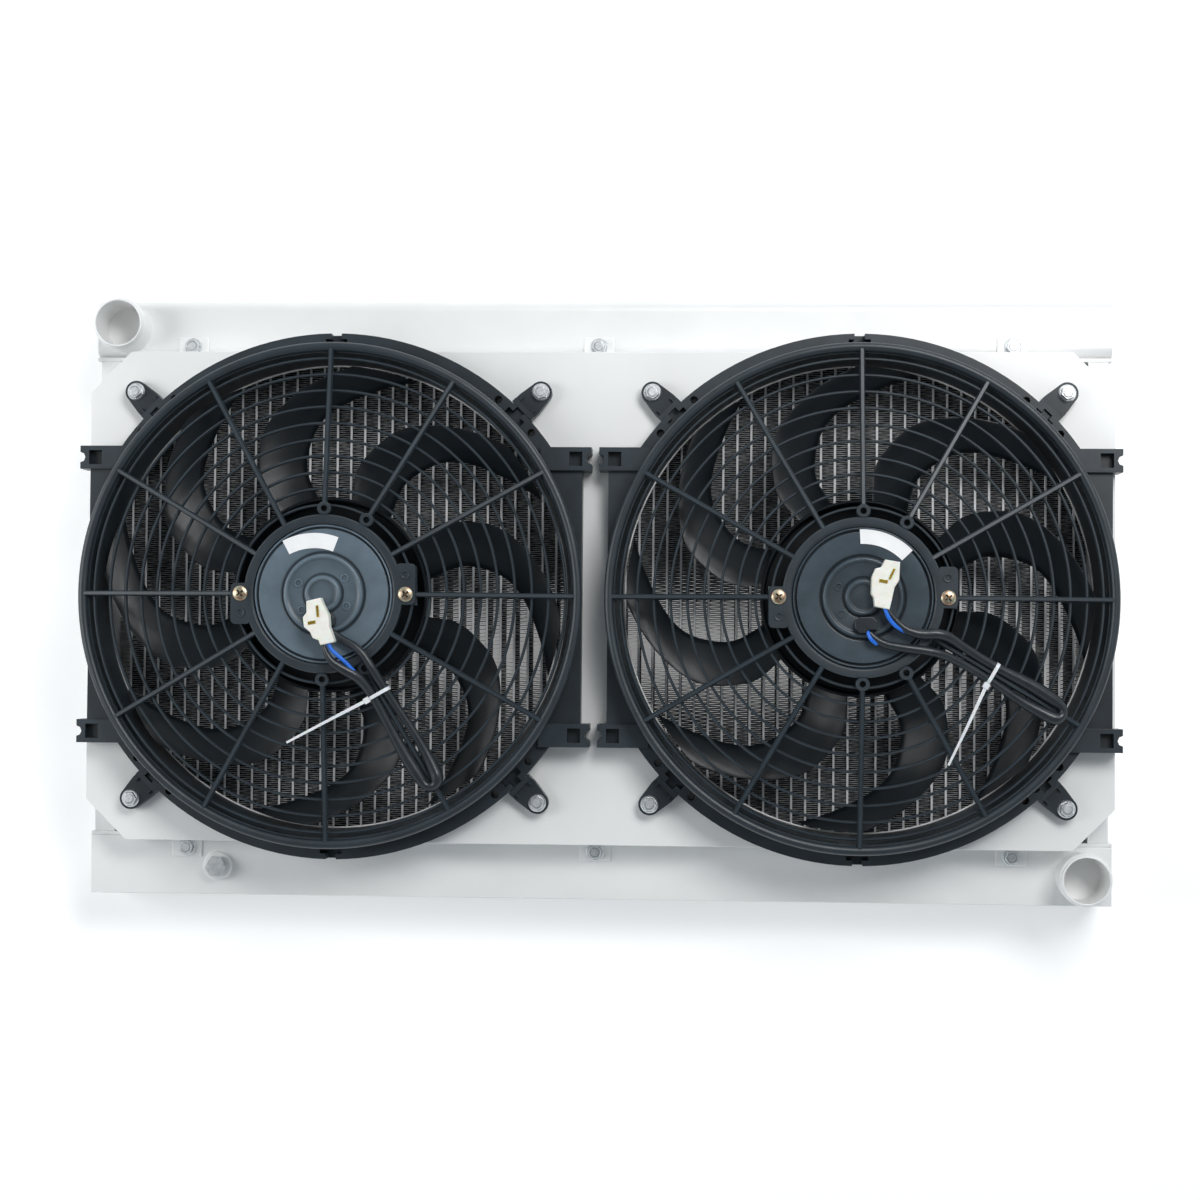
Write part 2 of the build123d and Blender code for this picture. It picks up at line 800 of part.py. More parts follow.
# Lead caps: where each lead comes out of its motor's cover
cap_places = [(across + cap_centre[0], cap_centre[1]) for across in fan_places.values()]
with BuildPart() as lead_caps:
    with BuildSketch(level(cover_step)) as outline:
        with Locations(*cap_places):
            Rectangle(cap_length, cap_width)
        chamfer(outline.vertices(), cap_corner)
        with Locations(*[(x + cap_mouth_shift, y - cap_width / 2) for x, y in cap_places]):
            Rectangle(cap_mouth_length, 2 * cap_mouth_depth, mode=Mode.SUBTRACT)
    extrude(amount=cap_height)
save(lead_caps, "lead_caps")


def corner_radii(route):
    """Bend radius at each corner of a route: as large as its two runs allow."""
    radii = []
    for before, corner, after in zip(route, route[1:], route[2:]):
        arrive = Vector(*corner) - Vector(*before)
        leave = Vector(*after) - Vector(*corner)
        half_turn = radians(arrive.get_angle(leave)) / 2
        radii.append(0.45 * min(arrive.length, leave.length) / tan(half_turn))
    return radii


for side, route in lead_routes.items():
    radii = corner_radii(route)
    print(side, "lead bends:", [round(radius, 1) for radius in radii])
    origin = Vector(fan_places[side], 0, shroud_front)
    points = [origin + Vector(*point) for point in route]
    with BuildPart() as lead:
        with BuildLine() as path:
            FilletPolyline(*points, radius=radii)
        with BuildSketch(Plane(origin=path.line @ 0, z_dir=path.line % 0)) as section:
            RegularPolygon(lead_radius, pin_sides)
        sweep()
    length = path.wire().length
    fullness = lead.part.volume / (section.sketch.area * length)
    print(side, "lead length:", round(length, 1), "volume against section times length:", round(fullness, 4))
    save(lead, f"{side}_lead")

# Plugs: a white two-pin housing at the end of each lead, and its terminals
plug_side = (
    (0, plug_tail_width / 2),
    (plug_tail_length, plug_width / 2),
    (plug_length - plug_nose_length, plug_width / 2),
    (plug_length - plug_nose_length, plug_nose_width / 2),
    (plug_length, plug_nose_width / 2),
)
with BuildPart() as lead_plugs:
    for side, heading in plug_headings.items():
        end = Vector(fan_places[side], 0, shroud_front) + Vector(*lead_routes[side][-1])
        turn = radians(heading)
        base = Plane(origin=end - Vector(0, 0, plug_thickness / 2), x_dir=(cos(turn), sin(turn), 0))
        with BuildSketch(base):
            with BuildLine():
                Polyline(*plug_side, *[(along, -out) for along, out in reversed(plug_side)], close=True)
            make_face()
        extrude(amount=plug_thickness)
        with BuildSketch(base.offset((plug_thickness - plug_socket_height) / 2)):
            Rectangle(2 * plug_socket_depth, plug_socket_width)
        extrude(amount=plug_socket_height, mode=Mode.SUBTRACT)
        with BuildSketch(base.offset((plug_thickness - terminal_thickness) / 2 - terminal_gap)):
            with Locations(*[(plug_length - terminal_length / 2, way * terminal_spacing / 2)
                             for way in (-1, 1)]):
                Rectangle(terminal_length, terminal_width + 2 * terminal_gap)
        extrude(amount=terminal_thickness + 2 * terminal_gap, mode=Mode.SUBTRACT)
save(lead_plugs, "lead_plugs")

with BuildPart() as plug_terminals:
    for side, heading in plug_headings.items():
        end = Vector(fan_places[side], 0, shroud_front) + Vector(*lead_routes[side][-1])
        turn = radians(heading)
        base = Plane(origin=end - Vector(0, 0, terminal_thickness / 2), x_dir=(cos(turn), sin(turn), 0))
        with BuildSketch(base):
            with Locations(*[(plug_length - terminal_length / 2, way * terminal_spacing / 2)
                             for way in (-1, 1)]):
                Rectangle(terminal_length, terminal_width)
        extrude(amount=terminal_thickness)
save(plug_terminals, "plug_terminals")

# Cable ties: a band round both runs of the lead and a spoke, its head, and its loose tail
with BuildPart() as cable_ties:
    for side, angle, radius, tail_end in tie_places:
        across = fan_places[side]
        turn = radians(angle)
        outward = Vector(cos(turn), sin(turn), 0)
        leftward = Vector(-sin(turn), cos(turn), 0)
        low = spoke_top(radius) - spoke_depth - tie_slack
        high = spoke_top(radius) + lead_side_lift + lead_radius + tie_headroom
        middle = Vector(across, 0, shroud_front + (low + high) / 2) + outward * radius
        band_width = 2 * (lead_side_offset + lead_radius + tie_slack)
        with BuildSketch(Plane(origin=middle, x_dir=leftward, z_dir=outward)):
            Rectangle(band_width + 2 * tie_thickness, high - low + 2 * tie_thickness)
            Rectangle(band_width, high - low, mode=Mode.SUBTRACT)
            with Locations((-(band_width + tie_head) / 2, (high - low - tie_head) / 2)):
                Rectangle(tie_head, tie_head)
        extrude(amount=tie_width / 2, both=True)
        start = middle - leftward * (band_width + tie_head) / 2 + Vector(0, 0, (high - low) / 2 - tie_thickness)
        reach = Vector(across, 0, shroud_front) + Vector(*tail_end) - start
        with BuildSketch(Plane(origin=start, x_dir=(-reach.Y, reach.X, 0), z_dir=reach)):
            Rectangle(tie_width, tie_thickness)
        extrude(amount=reach.length)
save(cable_ties, "cable_ties")
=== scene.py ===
# %% [markdown]
# # A car radiator with two electric fans
# The radiator lies on its back, with its fans towards us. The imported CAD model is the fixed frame:
# every piece below goes where the frame says, and rides on one of its three bodies.

# %% Load the frame
from math import cos, degrees, pi, radians, sin

import bmesh
import bpy
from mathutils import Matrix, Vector


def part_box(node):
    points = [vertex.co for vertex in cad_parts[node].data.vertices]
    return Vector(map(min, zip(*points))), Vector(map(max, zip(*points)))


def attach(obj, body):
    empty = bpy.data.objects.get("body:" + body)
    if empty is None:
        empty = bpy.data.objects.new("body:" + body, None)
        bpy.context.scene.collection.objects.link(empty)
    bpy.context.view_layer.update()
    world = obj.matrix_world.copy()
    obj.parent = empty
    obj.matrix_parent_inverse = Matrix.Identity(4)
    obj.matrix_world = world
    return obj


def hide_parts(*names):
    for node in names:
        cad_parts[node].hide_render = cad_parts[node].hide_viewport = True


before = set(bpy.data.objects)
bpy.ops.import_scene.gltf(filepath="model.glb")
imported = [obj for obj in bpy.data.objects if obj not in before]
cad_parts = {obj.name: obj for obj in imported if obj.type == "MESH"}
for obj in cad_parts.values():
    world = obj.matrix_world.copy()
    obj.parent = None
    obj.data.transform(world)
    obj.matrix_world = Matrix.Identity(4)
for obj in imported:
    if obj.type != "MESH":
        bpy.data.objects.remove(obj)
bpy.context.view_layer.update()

# %% [markdown]
# The real sizes are in millimetres, and Blender works in metres, so `mm` turns one into the other.
# Where the frame knows a place, it is read from the frame and not written again.

# %% Places read from the frame
mm = 0.001
sides = {"left": "left_rotor", "right": "right_rotor"}


def middle(node):
    low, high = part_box(node)
    return (Vector(low) + Vector(high)) / 2


shroud_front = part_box("fan_shroud")[1][2]
centres = {side: Vector((middle(f"{side}_motor_shaft").x, 0, shroud_front)) for side in sides}
print("fan centres:", {side: tuple(round(n, 4) for n in centre) for side, centre in centres.items()})


# %% [markdown]
# ## Camera and light
# The photograph looks almost straight down with a fairly long lens. The camera's place, its small
# tilts and its lens were fitted to the screws, bolts and plates that the photograph shows.


# %% Camera
def linked(name, data):
    """An object for this data, put in the scene."""
    made = bpy.data.objects.new(name, data)
    bpy.context.scene.collection.objects.link(made)
    return made


camera_data = bpy.data.cameras.new("camera")
camera = linked("camera", camera_data)
camera.location = (0.0816, -0.0427, 1.6596)
camera.rotation_euler = (0.0263, 0.0491, 0.0082)
camera_data.sensor_width = 36
camera_data.lens = 61.07
bpy.context.scene.camera = camera

# %% [markdown]
# Black plastic shows its form only through what it reflects. Two broad soft boxes do that: the
# stronger one above and to the right, the weaker one to the left. Between them the room is dim
# overhead, which is what keeps the blacks deep, and pale all round at the level of the table.


# %% Lamps
def soft_box(name, place, aim, width, height, power):
    lamp = bpy.data.lights.new(name, "AREA")
    lamp.shape = "RECTANGLE"
    lamp.size, lamp.size_y, lamp.energy = width, height, power
    holder = linked(name, lamp)
    holder.location = place
    holder.rotation_euler = (Vector(aim) - Vector(place)).to_track_quat("-Z", "Y").to_euler()


between_fans = (0, 0, 0.1)
soft_box("key_light", (0.8, 1.0, 1.8), between_fans, 1.2, 0.7, 27)
soft_box("fill_light", (-1.6, 0.1, 1.3), between_fans, 0.8, 1.2, 13)

# %% [markdown]
# ## Colours and nodes
# A colour picked from a photograph is an sRGB value, and Blender's shaders want linear light, so
# one function turns one into the other. A second function adds a shader node with its settings and
# links, which keeps every material below down to the lines that say what it is.


# %% Helpers for materials
def linear(hex_colour):
    """An sRGB colour such as 2b3034 as linear red, green, blue and alpha."""
    shares = [int(hex_colour[place:place + 2], 16) / 255 for place in (0, 2, 4)]
    return (*[s / 12.92 if s <= 0.04045 else ((s + 0.055) / 1.055) ** 2.4 for s in shares], 1)


def add(tree, kind, inputs=(), **settings):
    """Adds a node. Each input is a value, or another node's output to link from."""
    made = tree.nodes.new(kind)
    for name, value in settings.items():
        setattr(made, name, value)
    for name, value in dict(inputs).items():
        if isinstance(value, bpy.types.NodeSocket):
            tree.links.new(value, made.inputs[name])
        else:
            made.inputs[name].default_value = value
    return made


def new_finish(name, colour, roughness, **shader_values):
    """A material with one Principled shader. Returns it with its node tree and that shader."""
    material = bpy.data.materials.new(name)
    material.use_nodes = True
    tree = material.node_tree
    shader = tree.nodes["Principled BSDF"]
    shader.inputs["Base Color"].default_value = linear(colour)
    shader.inputs["Roughness"].default_value = roughness
    for socket, value in shader_values.items():
        shader.inputs[socket.replace("_", " ")].default_value = value
    return material, tree, shader


def mottled(tree, shader, light, dark, patch, share=0.5):
    """Lets the colour drift between two shades in patches of this real size."""
    place = add(tree, "ShaderNodeTexCoord").outputs["Object"]
    drift = add(tree, "ShaderNodeTexNoise", {"Vector": place, "Scale": 1 / patch, "Detail": 4.0})
    ramp = add(tree, "ShaderNodeValToRGB", {"Fac": drift.outputs["Fac"]})
    ramp.color_ramp.elements[0].position, ramp.color_ramp.elements[0].color = 0.5 - share / 2, linear(dark)
    ramp.color_ramp.elements[1].position, ramp.color_ramp.elements[1].color = 0.5 + share / 2, linear(light)
    tree.links.new(ramp.outputs["Color"], shader.inputs["Base Color"])
    return place


def grained(tree, shader, place, grain, height, strength):
    """A fine bump whose grains have this real width and height."""
    noise = add(tree, "ShaderNodeTexNoise", {"Vector": place, "Scale": 1 / grain, "Detail": 3.0})
    bump = add(tree, "ShaderNodeBump",
               {"Height": noise.outputs["Fac"], "Distance": height, "Strength": strength})
    tree.links.new(bump.outputs["Normal"], shader.inputs["Normal"])


hollow_point, ridge_point = 0.42, 0.58


# Painted light: the colour is darkened in hollows as painted shade and lightened on ridges as a painted
# highlight.
def ridge_light_hollow_shade(tree, shader, hollow, ridge):
    """Scales the colour by one share in hollows and by another on ridges."""
    pointed = add(tree, "ShaderNodeNewGeometry").outputs["Pointiness"]
    share = add(tree, "ShaderNodeMapRange", {"Value": pointed, "From Min": hollow_point,
                                             "From Max": ridge_point, "To Min": hollow,
                                             "To Max": ridge})
    colour = shader.inputs["Base Color"].links[0].from_socket
    scaled = add(tree, "ShaderNodeVectorMath", {0: colour, "Scale": share.outputs[0]}, operation="SCALE")
    tree.links.new(scaled.outputs[0], shader.inputs["Base Color"])


# %% [markdown]
# ## Plastics and paint
# The housings, feet and grilles are glass-filled nylon, injection moulded: nearly black with a cold
# tint, half matt, with a fine grain from the mould. Real mould grain is about 0.1 mm wide. At this
# distance that is far below a pixel, so it is drawn at 0.6 mm. Ridges are lightened as a painted
# highlight and hollows darkened as painted shade, which the Pointiness of a mesh can tell apart.

# %% Glass-filled nylon
black_nylon, tree, shader = new_finish("glass_filled_nylon", "22292e", 0.40, IOR=1.53)
place = mottled(tree, shader, "252e34", "1c2328", 18 * mm)
grained(tree, shader, place, 0.6 * mm, 0.05 * mm, 0.35)
# painted highlight on the ridges and painted shade in the hollows of the nylon
ridge_light_hollow_shade(tree, shader, 0.7, 1.5)

# %% [markdown]
# The fan blades are unfilled nylon from a polished mould, so they are a shade darker and glossier.

# %% Moulded nylon of the fans
blade_nylon, tree, shader = new_finish("moulded_nylon", "10161a", 0.36, IOR=1.53,
                                       Specular_IOR_Level=0.35)
place = mottled(tree, shader, "12191e", "0d1216", 25 * mm)
grained(tree, shader, place, 1.2 * mm, 0.03 * mm, 0.25)

# %% [markdown]
# The motors are pressed steel with a baked satin paint. It has a faint orange peel about 1 mm wide,
# and its colour drifts in patches, as under thin dust. Over pressed edges it is lightened as a strong
# painted highlight, and in the grooves it is darkened as painted shade. The right motor is given a
# deeper shade of the same paint than the left one.

# %% Satin paint of the motors
motor_paints = {}
for side, light, dark in (("left", "4d5962", "434e56"), ("right", "303a41", "272f35")):
    motor_paints[side], tree, shader = new_finish(f"satin_motor_paint_{side}", light, 0.33, IOR=1.5)
    place = mottled(tree, shader, light, dark, 12 * mm)
    grained(tree, shader, place, 1.0 * mm, 0.02 * mm, 0.4)
    # painted shade in the grooves and a strong painted highlight on the pressed edges
    ridge_light_hollow_shade(tree, shader, 0.3, 2.2)

# %% [markdown]
# ## Metals
# The tanks and the shroud are aluminium sheet with a satin finish. The photograph shows the sheet
# as plain white, so the colour is paler and far less metallic than bare aluminium would be. Rolling
# leaves fine lines along the sheet, which a noise stretched along X gives. The lines are drawn
# 1.5 mm apart, because the real 0.1 mm ones are too fine to show.


# %% Satin aluminium sheet
def rolled_aluminium(name, light, dark, roughness):
    material, tree, shader = new_finish(name, light, roughness, Metallic=0.15)
    place = mottled(tree, shader, light, dark, 60 * mm)
    stretched = add(tree, "ShaderNodeMapping", {"Vector": place, "Scale": (0.03, 1.0, 1.0)})
    lines = add(tree, "ShaderNodeTexNoise",
                {"Vector": stretched.outputs["Vector"], "Scale": 1 / (1.5 * mm), "Detail": 2.0})
    bump = add(tree, "ShaderNodeBump",
               {"Height": lines.outputs["Fac"], "Distance": 0.01 * mm, "Strength": 0.5})
    tree.links.new(bump.outputs["Normal"], shader.inputs["Normal"])
    return material


shroud_sheet = rolled_aluminium("satin_aluminium_sheet", "f9f9f8", "f3f3f2", 0.40)
tank_sheet = rolled_aluminium("brazed_aluminium", "f6f6f5", "ededec", 0.45)

# %% [markdown]
# The tubes are clad aluminium from the brazing oven: pale, with a dry sheen. The fins between them
# are the same metal, but so deep and narrow that hardly any light comes back out, so their faces
# are given a dark grey as painted shade, and only their front edges stay bright.

# %% Core metals
tube_metal, tree, shader = new_finish("brazed_tube_aluminium", "f5f6f6", 0.40, Metallic=0.2)
mottled(tree, shader, "fafafa", "ecedee", 9 * mm)

# painted shade: a near-black grey for the fin faces and the tube sides, where pale aluminium lies in deep
# shade
fin_shade_grey, tree, shader = new_finish("fin_aluminium_painted_shade", "08090a", 0.8, Metallic=0.2)
mottled(tree, shader, "0b0c0d", "060607", 7 * mm)

fin_edge_metal, tree, shader = new_finish("fin_edge_aluminium", "dfe1e2", 0.40, Metallic=0.2)
mottled(tree, shader, "fafafa", "8f9395", 5 * mm, 0.35)


# %% [markdown]
# Bolts are steel with a bright zinc plate, and the motor screws have a yellow zinc plate, which
# shows faint patches of pink and green because its layer varies in thickness. Painted shade darkens
# the hollows, above all the cross of a screw, and a faint painted highlight lightens the ridges. The
# metals inside the motors and the terminals of the plugs come from the same function, each with its
# own two shades.


# %% Zinc plates and other metals
def plated(name, light, dark, roughness, patch):
    material, tree, shader = new_finish(name, light, roughness, Metallic=1.0)
    mottled(tree, shader, light, dark, patch, 0.3)
    # painted shade in the hollows and a faint painted highlight on the ridges
    ridge_light_hollow_shade(tree, shader, 0.15, 1.1)
    return material


bright_zinc = plated("bright_zinc", "e8eaeb", "cfd2d4", 0.42, 3 * mm)
yellow_zinc = plated("yellow_zinc", "e4e3c6", "d9a98c", 0.36, 3 * mm)
ground_steel = plated("ground_steel", "c0c2c4", "a5a8aa", 0.25, 2 * mm)
sintered_bronze = plated("sintered_bronze", "b5864c", "8d6536", 0.45, 1 * mm)
tinned_brass = plated("terminal_brass", "e0c252", "b8952e", 0.28, 2 * mm)
armature_steel = plated("laminated_steel", "8a7460", "5c4a3c", 0.5, 3 * mm)
magnet_ferrite, tree, shader = new_finish("ground_ferrite", "2e2f31", 0.55)
mottled(tree, shader, "343538", "26272a", 2 * mm)


# %% [markdown]
# ## Small white and soft pieces
# The plugs and cable ties are natural nylon: white with a trace of yellow, and light goes a little
# way into it before it comes back, which softens its shadows. The labels are bare coated paper.

# %% Whites and sleeve
white_nylon, tree, shader = new_finish("natural_nylon", "f2f1e9", 0.38, IOR=1.53,
                                       Subsurface_Weight=0.25, Subsurface_Scale=0.0015)
mottled(tree, shader, "f6f5ef", "eae8dc", 6 * mm)
tie_nylon, tree, shader = new_finish("cable_tie_nylon", "e6e9ec", 0.34, IOR=1.53,
                                     Subsurface_Weight=0.15, Subsurface_Scale=0.001)
mottled(tree, shader, "eceef0", "dcdfe2", 4 * mm)
label_paper, tree, shader = new_finish("coated_paper", "f7f7f8", 0.45)
place = mottled(tree, shader, "fafafa", "f1f1f2", 10 * mm)
grained(tree, shader, place, 0.5 * mm, 0.01 * mm, 0.3)

# %% [markdown]
# The lead's sleeve is soft PVC, black and fairly glossy, with long shallow dents where it was bent.
# One of the two wires in it is blue.

# %% Sleeve and wires
sleeve_pvc, tree, shader = new_finish("pvc_sleeve", "23292d", 0.33, IOR=1.52)
place = mottled(tree, shader, "282e33", "1e2327", 8 * mm)
grained(tree, shader, place, 5 * mm, 0.3 * mm, 0.4)
blue_pvc, tree, shader = new_finish("blue_wire_pvc", "1a6fe0", 0.35, IOR=1.52)
mottled(tree, shader, "1f78ea", "155fc8", 3 * mm)


# %% [markdown]
# ## Making pieces
# Most pieces here are turned, like the motor's end, or run along a line, like a spoke. Two small
# functions add such forms to a mesh, and a third closes an outline into a plate. Two more give a
# profile its real size and draw a rounded rectangle. The last ones make an object of the mesh, give
# it its finish and tell the frame what it rides on and replaces. `finished` also weights the shading
# by the size of the faces, so that a flat face beside a small bevel still shades as flat.


# %% Helpers for meshes
def turned(mesh, profile, centre, steps=128, closed=True):
    """Turns a profile of (radius, height) pairs round an upright line. Radius 0 makes a pole."""
    rings = []
    for radius, height in profile:
        count = steps if radius else 1
        rings.append([
            mesh.verts.new(Vector(centre) + Vector((radius * cos(2 * pi * k / steps),
                                                    radius * sin(2 * pi * k / steps), height)))
            for k in range(count)
        ])
    pairs = list(zip(rings, rings[1:] + rings[:1])) if closed else list(zip(rings, rings[1:]))
    for near, far in pairs:
        for k in range(steps):
            corners = [near[k % len(near)], near[(k + 1) % len(near)],
                       far[(k + 1) % len(far)], far[k % len(far)]]
            mesh.faces.new(list(dict.fromkeys(corners)))


def sized(profile, base=0):
    """A profile given in millimetres, with its heights counted from a base."""
    return [(radius * mm, base + height * mm) for radius, height in profile]


def run(mesh, line, section, up=Vector((0, 0, 1)), scale=lambda share: 1.0):
    """Runs a closed section of (across, up) pairs along a line of points, and caps both ends."""
    rings = []
    for index, point in enumerate(line):
        before, after = line[max(index - 1, 0)], line[min(index + 1, len(line) - 1)]
        along = (Vector(after) - Vector(before)).normalized()
        across = along.cross(up).normalized()
        rise = across.cross(along)
        size = scale(index / (len(line) - 1))
        rings.append([mesh.verts.new(Vector(point) + (across * a + rise * b) * size) for a, b in section])
    for near, far in zip(rings, rings[1:]):
        for k in range(len(section)):
            mesh.faces.new((near[k], near[k - 1], far[k - 1], far[k]))
    mesh.faces.new(rings[0])
    mesh.faces.new(list(reversed(rings[-1])))


def plate(mesh, outline, low, high, inset=0.0):
    """A flat plate between two heights. With an inset its upper edge is bevelled."""
    middle_point = sum((Vector((*point, 0)) for point in outline), Vector()) / len(outline)
    levels = [(low, 0.0), (high - inset, 0.0)] + ([(high, inset)] if inset else [])
    rings = []
    for height, pull in levels:
        ring = []
        for point in outline:
            flat = Vector((*point, 0))
            inward = (middle_point - flat)
            flat = flat + inward.normalized() * min(pull, inward.length)
            ring.append(mesh.verts.new((flat.x, flat.y, height)))
        rings.append(ring)
    for near, far in zip(rings, rings[1:]):
        for k in range(len(outline)):
            mesh.faces.new((near[k - 1], near[k], far[k], far[k - 1]))
    mesh.faces.new(list(reversed(rings[0])))
    mesh.faces.new(rings[-1])


def rounded(width, height, corner, steps=4):
    """The outline of a rounded rectangle round the origin."""
    points = []
    for quarter, (x, y) in enumerate(((1, 1), (-1, 1), (-1, -1), (1, -1))):
        for step in range(steps + 1):
            angle = radians(90) * (quarter + step / steps)
            points.append((x * (width / 2 - corner) + corner * cos(angle),
                           y * (height / 2 - corner) + corner * sin(angle)))
    return points


def from_mesh(name, mesh, *finishes):
    """An object in the scene made of this mesh, with its materials."""
    data = bpy.data.meshes.new(name)
    mesh.to_mesh(data)
    mesh.free()
    for finish in finishes:
        data.materials.append(finish)
    return linked(name, data)


sharp_angle = 35


def finished(name, mesh, finishes, replaced, body="radiator", crease=sharp_angle):
    """Makes the object: smooth but for edges sharper than the crease, and known to the frame."""
    bmesh.ops.recalc_face_normals(mesh, faces=mesh.faces)
    piece = from_mesh(name, mesh, *finishes)
    data = piece.data
    data.shade_smooth()
    data.set_sharp_from_angle(angle=radians(crease))
    flat = piece.modifiers.new("flat_faces_stay_flat", "WEIGHTED_NORMAL")
    flat.keep_sharp = True
    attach(piece, body)
    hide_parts(*replaced)
    return piece


# %% [markdown]
# A form that the CAD model already has, such as a folded sheet or a moulded housing, only lacks
# the small rounding that folding and moulding leave on its edges. Its mesh is copied, its flat
# triangles are merged, and a bevel of the real edge radius is applied to the copy.


# %% Copies with eased edges
weld_distance, flat_angle = 0.001 * mm, 1


def eased(node, radius, finish, body="radiator"):
    """A copy of a CAD node with its sharp edges rounded."""
    mesh = bmesh.new()
    mesh.from_mesh(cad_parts[node].data)
    bmesh.ops.remove_doubles(mesh, verts=mesh.verts, dist=weld_distance)
    bmesh.ops.dissolve_limit(mesh, angle_limit=radians(flat_angle), verts=mesh.verts, edges=mesh.edges)
    sharp = [edge for edge in mesh.edges
             if edge.is_manifold and edge.calc_face_angle() > radians(sharp_angle)]
    bmesh.ops.bevel(mesh, geom=sharp, offset=radius, segments=2, profile=0.5, affect="EDGES",
                    clamp_overlap=True)
    return finished(f"{node}_eased", mesh, [finish], [node], body)


# %% [markdown]
# ## Sheet metal
# The shroud is one folded sheet, and the tanks and side channels are thicker sheet and extrusion.

# %% Shroud, tanks and channels
eased("fan_shroud", 0.5 * mm, shroud_sheet)
for end in ("top", "bottom"):
    eased(f"{end}_tank", 0.8 * mm, tank_sheet)
    eased(f"{end}_header", 0.4 * mm, tank_sheet)
for side in sides:
    eased(f"{side}_side_channel", 0.4 * mm, tank_sheet)
eased("drain_plug", 0.5 * mm, bright_zinc)

# %% [markdown]
# Each hose neck is a short tube with a rolled bead that keeps the hose on, so it is turned again
# with a rounded bead and a rounded lip.

# %% Hose necks
neck_low, neck_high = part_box("hose_necks")
neck_outer, neck_wall, outer_lip, inner_lip = 19 * mm, 1.5 * mm, 0.4 * mm, 0.3 * mm
neck_top, neck_foot = neck_high[2], neck_low[2]
bead_height, bead_half, bead_middle = 1.5 * mm, 2.5 * mm, neck_top - 5.5 * mm
bead = [(neck_outer + bead_height * sin(pi * k / 8), bead_middle + bead_half * (k / 4 - 1))
        for k in range(9)]
neck_profile = [
    (neck_outer - neck_wall, neck_foot), (neck_outer, neck_foot), *bead,
    (neck_outer, neck_top - outer_lip), (neck_outer - outer_lip, neck_top),
    (neck_outer - neck_wall + inner_lip, neck_top), (neck_outer - neck_wall, neck_top - inner_lip),
]
bead_reach = neck_outer + bead_height
mesh = bmesh.new()
for x, y in ((neck_low[0] + bead_reach, neck_high[1] - bead_reach),
             (neck_high[0] - bead_reach, neck_low[1] + bead_reach)):
    turned(mesh, neck_profile, (x, y, 0), 64)
finished("hose_necks_turned", mesh, [tank_sheet], ["hose_necks"], crease=50)

# %% [markdown]
# ## Core
# A flat tube is extruded with blunt, rounded noses, and its front nose is what the photograph shows
# as a bright upright line. Its sides are as deep in shade as the fins, so they take the fins' dark
# grey and the line stays narrow. The tubes stand 11 mm apart, as in the CAD model.

# %% Flat tubes
tube_pitch, tube_width = 11 * mm, 2 * mm
tube_low, tube_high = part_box("core_tubes")
tube_count = round((tube_high[0] - tube_low[0] - tube_width) / tube_pitch) + 1
nose = tube_width / 2
corner = [(nose, 0.6 * mm), (nose * 0.92, 0.2 * mm), (nose * 0.65, 0)]
front = corner + [(-across, down) for across, down in reversed(corner)]
tube_section = [(across, tube_high[2] - down) for across, down in front]
tube_section += [(-across, tube_low[2] + down) for across, down in front]
nose_faces = (2, 3, 4)
mesh = bmesh.new()
for index in range(tube_count):
    x = tube_low[0] + nose + index * tube_pitch
    ends = [[mesh.verts.new((x + a, y, z)) for a, z in tube_section] for y in (tube_low[1], tube_high[1])]
    for k in range(len(tube_section)):
        side_face = mesh.faces.new((ends[0][k - 1], ends[0][k], ends[1][k], ends[1][k - 1]))
        side_face.material_index = 0 if k in nose_faces else 1
    mesh.faces.new(ends[0])
    mesh.faces.new(list(reversed(ends[1])))
finished("flat_tubes", mesh, [tube_metal, fin_shade_grey], ["core_tubes"])
print("tubes:", tube_count)

# %% [markdown]
# Between two tubes runs one strip of thin sheet, folded to and fro. Seen from the front, every leg
# of it shows only its edge. The real sheet is 0.1 mm thick, which a pixel can't show, so each leg is
# a wedge with a front edge 0.32 mm wide, and its two faces meet at the back. Legs stand 1.55 mm
# apart, as the photograph shows. They lean to and fro as in a folded strip, but the folds that would
# join them beside the tubes aren't drawn.

# %% Folded fins
fin_low, fin_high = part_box("fin_packs")
leg_pitch, edge_width, lean_share = 1.55 * mm, 0.32 * mm, 0.14
leg_count = int((fin_high[1] - fin_low[1]) / leg_pitch)
mesh = bmesh.new()
for index in range(tube_count + 1):
    left = fin_low[0] + index * tube_pitch
    right = left + tube_pitch - tube_width
    edge_faces = []
    for leg in range(leg_count):
        start = fin_low[1] + leg * leg_pitch
        lean = leg_pitch * lean_share * (1 if leg % 2 else -1)
        y_left, y_right = start + leg_pitch / 2 - lean, start + leg_pitch / 2 + lean
        low = [mesh.verts.new((x, y, fin_low[2])) for x, y in ((left, y_left), (right, y_right))]
        tops = []
        for shift in (-edge_width / 2, edge_width / 2):
            tops.append([mesh.verts.new((x, y + shift, fin_high[2]))
                         for x, y in ((left, y_left), (right, y_right))])
        mesh.faces.new((low[0], low[1], tops[0][1], tops[0][0]))
        mesh.faces.new((low[1], low[0], tops[1][0], tops[1][1]))
        edge_faces.append(mesh.faces.new((tops[0][0], tops[0][1], tops[1][1], tops[1][0])))
    for face in edge_faces:
        face.material_index = 1
fins = from_mesh("folded_fins", mesh, fin_shade_grey, fin_edge_metal)
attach(fins, "radiator")
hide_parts("fin_packs")
print("fin legs:", leg_count * (tube_count + 1))

# %% [markdown]
# ## Housings and feet
# The housings keep their CAD shape, with its sockets and rails, and get the 0.6 mm edge radius of
# a moulding. The feet slide into those sockets.

# %% Housings and feet
for side in sides:
    eased(f"{side}_fan_housing", 0.6 * mm, black_nylon)
eased("mounting_feet", 0.7 * mm, black_nylon)

# %% [markdown]
# ## Bolts and screws
# A flanged bolt is one forging: a broad round flange, a hexagon on it, and a shallow dish in the
# hexagon's top. It is turned, and the hexagon comes from a plate with six corners. Each fan has four
# foot bolts on its diagonals. The frame's box of the shroud bolts ends at the corners and flats of
# their hexagons, so their middles lie half a hexagon further in.

